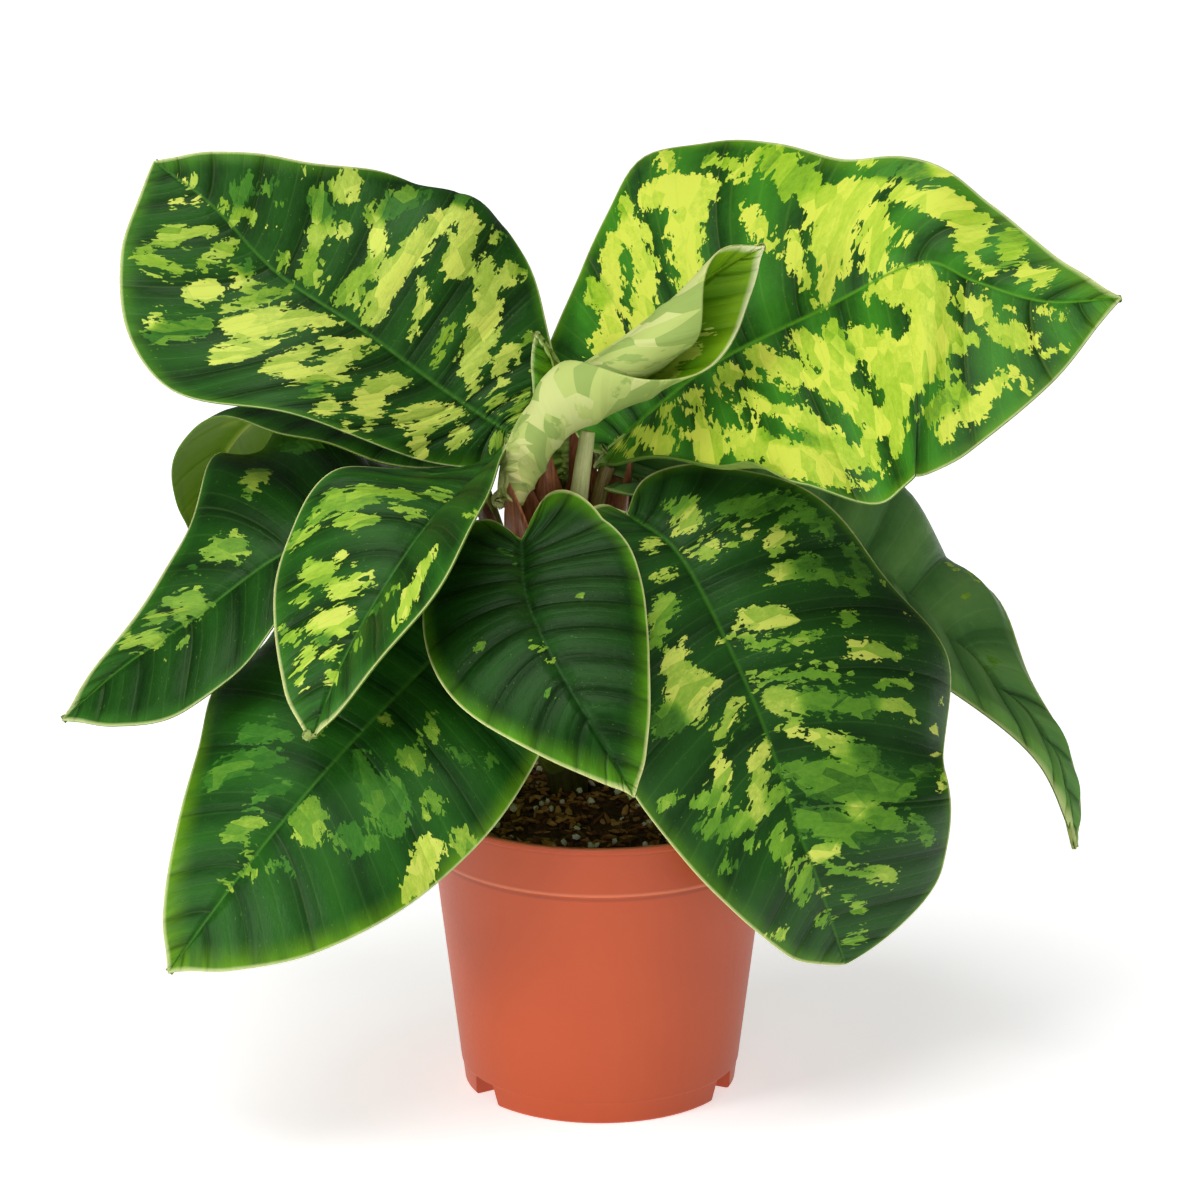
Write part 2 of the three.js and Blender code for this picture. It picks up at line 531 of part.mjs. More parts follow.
// A petiole: a tube on a smooth curve from the stem's side to the blade's base, or to an
// end of its own, flattened and broadened where it clasps the stem.
function petioleGeometry(leaf, grow = 0) {
  const { from, lean, reach, radius, to } = leaf.petiole;
  const { place, forward, up } = midribOf(leaf).frame(0);
  const foot = vector(from);
  const end = to ? vector(to) : place.clone().addScaledVector(up, -(BLADE.thick + 1.1)).addScaledVector(forward, 1);
  const axis = vector(STEM.top).sub(vector(STEM.foot)).normalize();
  const inwards = vector(STEM.foot).sub(foot);
  inwards.addScaledVector(axis, -inwards.dot(axis)).normalize();
  const curve = new THREE.CubicBezierCurve3(
    foot.clone().addScaledVector(inwards, 4),
    foot.clone().addScaledVector(vector(lean).normalize(), reach),
    end.clone().addScaledVector(forward.clone().add(new THREE.Vector3(0, 0, 1)).normalize(), -reach * 0.35),
    end,
  );
  const points = [];
  const { sides, steps, clasp } = PETIOLE;
  for (let i = 0; i <= steps; i++) {
    const share = i / steps;
    const middle = curve.getPoint(share);
    const tangent = curve.getTangent(share);
    const across = tangent.clone().cross(inwards).normalize();
    const deep = across.clone().cross(tangent).normalize();
    const girth = radius * (1 - 0.35 * share) + grow;
    const broad = girth * (1 + (clasp - 1) * (1 - share) ** 3);
    for (let j = 0; j < sides; j++) {
      const angle = (2 * Math.PI * j) / sides;
      const spot = middle.clone().addScaledVector(across, broad * Math.cos(angle));
      points.push(spot.addScaledVector(deep, girth * Math.sin(angle)));
    }
  }
  points.push(curve.getPoint(0), curve.getPoint(1));
  const faces = [];
  for (let j = 0; j < sides; j++) {
    const next = (j + 1) % sides;
    faces.push([points.length - 2, next, j]);
    for (let i = 0; i < steps; i++) {
      const [low, high] = [i * sides, (i + 1) * sides];
      faces.push([low + j, low + next, high + next], [low + j, high + next, high + j]);
    }
    faces.push([points.length - 1, steps * sides + j, steps * sides + next]);
  }
  const geometry = new THREE.BufferGeometry().setFromPoints(points);
  geometry.setIndex(faces.flat());
  return geometry;
}

// A sheath: a lens-shaped strip on a smooth curve that bulges and then narrows to its tip.
function sheathGeometry({ from, lean, tip, width }, grow = 0) {
  const foot = vector(from);
  const end = vector(tip);
  const axis = vector(STEM.top);
  const outwards = new THREE.Vector3(foot.x - axis.x, foot.y - axis.y, 0).normalize();
  const curve = new THREE.QuadraticBezierCurve3(
    foot.clone().addScaledVector(outwards, -3),
    foot.clone().addScaledVector(vector(lean).normalize(), 30),
    end,
  );
  const { thick, sides, steps } = SHEATH;
  const points = [curve.getPoint(0)];
  for (let i = 0; i < steps; i++) {
    const share = i / steps;
    const middle = curve.getPoint(share);
    const across = curve.getTangent(share).cross(outwards).normalize();
    const half = width * (1 - share ** 4) + grow;
    for (let j = 0; j < sides; j++) {
      const angle = (2 * Math.PI * j) / sides;
      const bow = -(half * 0.25) * Math.cos(angle) ** 2;
      const spot = middle.clone().addScaledVector(across, half * Math.cos(angle));
      points.push(spot.addScaledVector(outwards, bow + (thick * (1 - 0.6 * share) + grow) * Math.sin(angle)));
    }
  }
  points.push(end);
  const faces = [];
  for (let j = 0; j < sides; j++) {
    const next = (j + 1) % sides;
    faces.push([0, 1 + next, 1 + j]);
    for (let i = 0; i < steps - 1; i++) {
      const [low, high] = [1 + i * sides, 1 + (i + 1) * sides];
      faces.push([low + j, low + next, high + next], [low + j, high + next, high + j]);
    }
    faces.push([points.length - 1, 1 + (steps - 1) * sides + j, 1 + (steps - 1) * sides + next]);
  }
  const geometry = new THREE.BufferGeometry().setFromPoints(points);
  geometry.setIndex(faces.flat());
  return geometry;
}

// The largest body of a cut solid, without the scraps that the cut left.
function mainBody(made) {
  return made.decompose().sort((a, b) => b.volume() - a.volume())[0];
}

const plant = new THREE.Group();
plant.name = "potted_homalomena";

function place(name, made, color, roughness) {
  const material = new THREE.MeshStandardMaterial({ color, roughness, metalness: 0, flatShading: true });
  const mesh = new THREE.Mesh(geometryOf(made), material);
  mesh.name = name;
  plant.add(mesh);
}

place("pot", pot(), COLOURS.pot, 0.45);
place("soil", soil(), COLOURS.soil, 0.95);
place("stem", stem(), COLOURS.stem, 0.5);

const cutters = [stem(CLEARANCE)];
const blades = Object.entries(LEAVES).map(([name, leaf]) => [name, solid(bladeGeometry(leaf))]);
for (const leaf of Object.values(LEAVES)) cutters.push(solid(bladeGeometry(leaf, CLEARANCE + 0.15)));
cutters.push(...blades.map(([, blade]) => blade));
const trim = (made) => mainBody(cutters.reduce((rest, cutter) => rest.subtract(cutter), made));
for (const [name, leaf] of Object.entries(LEAVES)) {
  place(`petiole_${name}`, trim(solid(petioleGeometry(leaf))), COLOURS.petiole, 0.45);
  cutters.push(solid(petioleGeometry(leaf, CLEARANCE)));
}
for (const [name, sheath] of Object.entries(SHEATHS)) {
  place(`sheath_${name}`, trim(solid(sheathGeometry(sheath))), COLOURS.sheath, 0.7);
  cutters.push(solid(sheathGeometry(sheath, CLEARANCE)));
}
for (const [name, blade] of blades) {
  const young = name === "young" || name === "spear";
  place(`blade_${name}`, blade, young ? COLOURS.youngBlade : COLOURS.blade, 0.35);
}

export default plant;
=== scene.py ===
"""A potted camouflage homalomena, dressed round its CAD frame.

The blades, stalks, sheaths, stem, potting mix and pot are finer pieces that stand for the
CAD nodes of the same names. Leaf sizes are in millimetres and degrees, as in the CAD source.
"""

import math

import bpy
import numpy as np
from bpy.props import FloatProperty, FloatVectorProperty, IntProperty, PointerProperty
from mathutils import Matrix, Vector


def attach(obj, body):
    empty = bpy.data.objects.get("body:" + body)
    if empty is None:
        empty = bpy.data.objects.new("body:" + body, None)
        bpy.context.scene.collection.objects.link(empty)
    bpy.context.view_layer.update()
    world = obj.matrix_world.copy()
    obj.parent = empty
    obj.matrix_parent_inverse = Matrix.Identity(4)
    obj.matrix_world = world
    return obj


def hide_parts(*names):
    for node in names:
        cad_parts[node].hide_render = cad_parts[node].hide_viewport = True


bl_info = {
    "name": "Potted camouflage homalomena",
    "version": (1, 0, 0),
    "blender": (4, 5, 0),
    "location": "3D View > Sidebar > Homalomena",
    "description": "Builds a potted camouflage homalomena round its CAD frame",
    "category": "Add Mesh",
}

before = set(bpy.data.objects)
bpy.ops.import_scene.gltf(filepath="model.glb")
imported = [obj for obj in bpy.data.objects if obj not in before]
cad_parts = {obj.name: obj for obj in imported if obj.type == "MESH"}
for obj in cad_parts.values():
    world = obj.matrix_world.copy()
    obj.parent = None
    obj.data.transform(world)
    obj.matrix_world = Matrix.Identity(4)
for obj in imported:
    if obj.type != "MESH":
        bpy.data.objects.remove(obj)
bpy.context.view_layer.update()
MM = 0.001


def srgb(code):
    """The linear colour of a hex code."""
    shares = [int(code[i : i + 2], 16) / 255 for i in (0, 2, 4)]
    return tuple(c / 12.92 if c <= 0.04045 else ((c + 0.055) / 1.055) ** 2.4 for c in shares)


# The leaves

# A blade's side veins, base to tip: where one leaves the midrib, where it meets the margin
# (both as shares of the length), and how far out (as a share of the half width).
VEINS = [
    (0.0, 0.0, 0.0),
    (0.02, -0.07, 0.32),
    (0.06, -0.03, 0.62),
    (0.13, 0.11, 0.86),
    (0.23, 0.28, 0.98),
    (0.36, 0.46, 1.0),
    (0.5, 0.63, 0.91),
    (0.66, 0.79, 0.69),
    (0.82, 0.91, 0.36),
    (0.93, 0.97, 0.11),
    (1.0, 1.0, 0.0),
]
# How far a vein bends forward on its way out, the part of a midrib that its directions are
# read over, and the steps in which a half is turned.
VEIN_SWEEP = 1.5
FRAME_WINDOW = 0.25
TURN_STEPS = 10

# The side veins that show, how far the right half's veins are ahead of the left half's, as a
# share of their spacing, and the fine veins between them.
MAIN_VEINS = 13
VEIN_STAGGER = 0.3
FINE_VEINS = 40.0

# Every leaf as the CAD has it. A midrib runs from the blade's base to its tip, the face is
# the way that the upper side looks, and each half leaves the midrib at an angle (lift) and
# turns by another (curl) on its way to the margin. A wave has its height, count and phase.
# Quilt scales how high a blade swells between its veins, and veins is how many it has.
LEAVES = {
    "upper_left": {
        "midrib": [(-30, 16, 226), (-51, 20, 239), (-81, 26, 260), (-110, 34, 278), (-132, 40, 300),
                   (-152, 46, 314)],
        "face": [(0.1, -0.9, 0.4), (0, -0.9, 0.45), (-0.2, -0.8, 0.5)],
        "half_width": 60,
        "right": {"width": [14, 27, 38, 48, 63, 74, 58, 43, 42, 48, 54], "lobe": 0, "sweep": 1.1,
                  "lift": [-15, 0, 0, 0], "curl": [0, -50, -75, -40], "onset": 5},
        "left": {"width": [1, 33, 60, 94, 160], "lobe": 0, "sweep": 0.75,
                 "lift": [10, 30, 12, 0], "curl": [10, -10, -20, -40], "onset": 1.5},
        "wave": (2, 3, 0.1),
        "petiole": {"from": (-20.4, 15.4, 145), "lean": (-0.05, 0.1, 1), "reach": 30, "radius": 3.4},
    },
    "upper_right": {
        "midrib": [(1, 6, 222), (35, 8, 250), (75, 0, 273), (105, -14, 291), (123, -20, 286),
                   (145, -28, 281), (170, -32, 283)],
        "face": [(-0.2, -0.85, 0.45), (0, -0.85, 0.5), (0.2, -0.8, 0.5)],
        "half_width": 66,
        "right": {"width": [4, 5, 9, 20, 55, 78, 85, 96, 94, 88, 80], "lobe": 0.4, "sweep": 1.1,
                  "lift": [10, 25, 15, 10], "curl": [20, 10, -10, 0], "onset": 1.5},
        "left": {"width": [0, 22, 44, 62, 76, 79, 79, 81, 92, 86, 66, 48, 44, 39, 36, 35, 34, 34, 35, 36,
                           38],
                 "lobe": 0.4, "sweep": 1,
                 "lift": [-25, -5, 0, 0], "curl": [10, -20, -30, -30], "onset": 1.5},
        "wave": (2.5, 3, 0.35),
        "petiole": {"from": (-5.5, 6, 150), "lean": (0.05, -0.2, 1), "reach": 30, "radius": 3.9,
                    "to": (3, 5, 218)},
    },
    "young": {
        "midrib": [(-33, -16, 210), (-30, -10, 223), (-23, -7, 238), (-9, -6, 250), (7, -6, 261),
                   (25, -9, 276), (39, -13, 288), (54, -17, 297)],
        "face": [(0.55, -0.8, -0.2), (0.6, -0.75, -0.3), (0.4, -0.9, 0)],
        "half_width": 60,
        "right": {"width": [-16, 57, 40, 30, 34], "lobe": 0, "sweep": 0.8,
                  "lift": [0, 0, 10, 20], "curl": [650, 420, 270, 60], "onset": 1.1},
        "left": {"width": [0, 26, 36, 34, 16], "lobe": 0, "sweep": 0.8,
                 "lift": [10, 10, 10, 0], "curl": [800, 500, 460, 300], "onset": 1.1},
        "wave": (0, 3, 0),
        "petiole": {"from": (-10, 4, 156), "lean": (-0.05, -0.2, 1), "reach": 26, "radius": 3.9,
                    "to": (-4, -4, 232)},
    },
    "spear": {
        "midrib": [(-14, 17, 210), (-13, 18, 228), (-14, 17, 246), (-22, 14, 261)],
        "face": [(-0.5, -0.8, 0), (-0.5, -0.8, 0), (-0.6, -0.6, -0.4)],
        "half_width": 11,
        "right": {"width": [11, 11, 11, 11, 11], "lobe": 0, "sweep": 1,
                  "lift": [50, 50, 40, 20], "curl": [120, 120, 60, 20], "onset": 1},
        "left": {"width": [11, 11, 11, 11, 11], "lobe": 0, "sweep": 1,
                 "lift": [50, 50, 40, 20], "curl": [60, 60, 20, 0], "onset": 1},
        "wave": (0, 2, 0),
        "petiole": {"from": (-15, 15, 160), "lean": (0, 0.05, 1), "reach": 16, "radius": 2},
    },
    "mid_left": {
        "midrib": [(-29, 4, 228), (-43, -18, 217), (-56, -34, 208), (-70, -54, 192), (-83, -66, 171),
                   (-94, -72, 144)],
        "face": [(-0.3, -0.3, 0.9), (-0.5, -0.7, 0.5), (-0.4, -0.8, 0.35)],
        "half_width": 44,
        "right": {"width": [5, 29, 45, 45, 78], "lobe": 0.2, "sweep": 0.85,
                  "lift": [-45, 24, 6, 5], "curl": [-10, -15, -20, -20], "onset": 1.3},
        "left": {"width": [0, 3, 45, 33, 12], "lobe": 0.2, "sweep": 1,
                 "lift": [30, 40, 40, 30], "curl": [0, -20, -20, 0], "onset": 1.3},
        "wave": (1.5, 3, 0.2),
        "petiole": {"from": (-21, 8, 150), "lean": (-0.35, -0.1, 1), "reach": 34, "radius": 3.1},
    },
    "far_left": {
        "midrib": [(-52, 14, 194), (-80, 2, 199), (-108, -10, 190), (-135, -20, 172), (-160, -28, 156),
                   (-180, -32, 139)],
        "face": [(-0.2, -0.6, 0.75), (-0.4, -0.65, 0.65), (-0.5, -0.7, 0.5)],
        "half_width": 44,
        "right": {"width": [6, 30, 62, 86, 82, 46, 26, 16, 15, 14, 14], "lobe": 1, "sweep": 1,
                  "lift": [-10, 5, 5, 5], "curl": [-20, -24, -28, -20], "onset": 1.3},
        "left": {"width": [6, 20, 26, 50, 62], "lobe": 1, "sweep": 1,
                 "lift": [20, 20, 15, 10], "curl": [-10, -30, -40, -20], "onset": 1.3},
        "wave": (2, 4, 0.6),
        "petiole": {"from": (-20, 11.8, 118), "lean": (-0.5, 0, 1), "reach": 30, "radius": 3.2},
    },
    "back_left": {
        "midrib": [(-45, 36, 217), (-77, 64, 222), (-110, 87, 221), (-133, 100, 203), (-148, 104, 166)],
        "face": [(-0.2, -0.1, 1), (-0.3, 0.1, 0.9), (-0.6, 0.7, 0.3)],
        "half_width": 38,
        "right": {"width": [28, 34, 38, 38, 38], "lobe": 1, "sweep": 1,
                  "lift": [15, 10, 5, 0], "curl": [-20, -30, -30, -20], "onset": 1.3},
        "left": {"width": [34, 34, 34, 35, 36], "lobe": 1, "sweep": 1,
                 "lift": [7, 11, 13, 6], "curl": [-20, -26, -26, -20], "onset": 1.3},
        "wave": (1.5, 3, 0.5),
        "petiole": {"from": (-17.6, 18.2, 128), "lean": (-0.3, 0.3, 1), "reach": 34, "radius": 3},
    },
    "low_left": {
        "midrib": [(-37, -22, 178), (-57, -38, 161), (-88, -60, 133), (-115, -74, 103), (-142, -80, 67)],
        "face": [(-0.2, -0.6, 0.8), (-0.3, -0.75, 0.6), (-0.35, -0.85, 0.4)],
        "half_width": 48,
        "right": {"width": [18, 28, 41, 54, 66, 63, 50, 39, 40, 44, 42], "lobe": 1, "sweep": 1,
                  "lift": [15, 8, 5, 5], "curl": [-10, -30, -30, -20], "onset": 1.3},
        "left": {"width": [44, 57, 57, 52, 48], "lobe": 1, "sweep": 1,
                 "lift": [15, 8, 5, 5], "curl": [-10, -30, -30, -20], "onset": 1.3},
        "wave": (1.5, 3, 0.8),
        "petiole": {"from": (-17.5, 6.9, 108), "lean": (-0.6, -0.4, 1), "reach": 26, "radius": 3.4},
    },
    "front": {
        "midrib": [(-26, -30, 201), (-24, -56, 189), (-16, -78, 176), (-3, -96, 158), (11, -100, 134)],
        "face": [(-0.1, -0.6, 0.8), (0, -0.8, 0.6), (0, -0.9, 0.4)],
        "half_width": 40,
        "right": {"width": [30, 34, 36, 22, 12], "lobe": 1.3, "sweep": 1,
                  "lift": [12, 8, 5, 5], "curl": [-10, -30, -30, -20], "onset": 1.3},
        "left": {"width": [30, 41, 36, 28, 36], "lobe": 2.5, "sweep": 1,
                 "lift": [12, 4, 0, 0], "curl": [-10, -30, -40, -30], "onset": 1.3},
        "wave": (1, 2, 0.3),
        "petiole": {"from": (-14.3, 4.2, 128), "lean": (-0.1, -0.5, 1), "reach": 26, "radius": 2.8},
    },
    "low_right": {
        "midrib": [(9, -14, 206), (27, -30, 195), (47, -50, 160), (58, -62, 134), (65, -70, 113),
                   (71, -72, 98), (82, -56, 61)],
        "face": [(0.1, -0.5, 0.85), (0.15, -0.8, 0.55), (0.15, -0.95, 0.2)],
        "half_width": 58,
        "right": {"width": [0, 38, 50, 44, 100], "lobe": 0.6, "sweep": 1,
                  "lift": [10, 4, 4, 5], "curl": [10, -20, -40, -40], "onset": 1.3},
        "left": {"width": [40, 50, 78, 95, 300], "lobe": 0.6, "sweep": 1,
                 "lift": [15, 8, 5, 5], "curl": [-10, -30, -40, -40], "onset": 1.3},
        "wave": (2, 3, 0.15),
        "petiole": {"from": (-6, 7.2, 120), "lean": (0.3, -0.3, 1), "reach": 30, "radius": 3.6},
    },
    "far_right": {
        "midrib": [(14, 14, 209), (55, 24, 204), (97, 30, 174), (133, 26, 138), (156, 20, 112),
                   (166, 16, 77)],
        "face": [(0.2, -0.2, 0.95), (0.5, -0.4, 0.75), (0.6, -0.7, 0.3)],
        "half_width": 42,
        "right": {"width": [22, 34, 33, 17, 8], "lobe": 1, "sweep": 1,
                  "lift": [15, 15, 15, 15], "curl": [-10, -30, -30, -20], "onset": 1.3},
        "left": {"width": [22, 23, 30, 44, 66, 72, 56, 18, 18, 34, 30], "lobe": 1, "sweep": 1.15,
                 "lift": [15, 15, 10, 0], "curl": [-20, -30, -40, -40], "onset": 1.3},
        "wave": (3, 4, 0.4), "quilt": 3.2, "veins": 15,
        "petiole": {"from": (-4.8, 13.4, 132), "lean": (0.2, 0.05, 1), "reach": 30, "radius": 3.2},
    },
    "back": {
        "midrib": [(-3, 54, 214), (4, 80, 226), (9, 107, 224), (13, 131, 208), (15, 146, 184)],
        "face": [(0, -0.3, 1), (0, 0.1, 1), (0.1, 0.6, 0.7)],
        "half_width": 42,
        "right": {"width": [4, 28, 42, 42, 42], "lobe": 1, "sweep": 1,
                  "lift": [15, 8, 5, 5], "curl": [-10, -30, -30, -20], "onset": 1.3},
        "left": {"width": [20, 34, 40, 42, 42], "lobe": 1, "sweep": 1,
                 "lift": [15, 8, 5, 5], "curl": [-10, -30, -30, -20], "onset": 1.3},
        "wave": (1.5, 3, 0.9),
        "petiole": {"from": (-11, 19.4, 140), "lean": (0.05, 0.4, 1), "reach": 30, "radius": 3.2},
    },
}

# The pale patches of each blade, as strokes judged one by one. A stroke has a tone and stations:
# the share along the side veins and out from the midrib, in percent and minus on the left
# half, and half the stroke's width in millimetres. A dark stroke is left out of the patches.
DIM, LIME, PALE, CREAM, DARK = 0.25, 0.6, 0.9, 1.0, -1

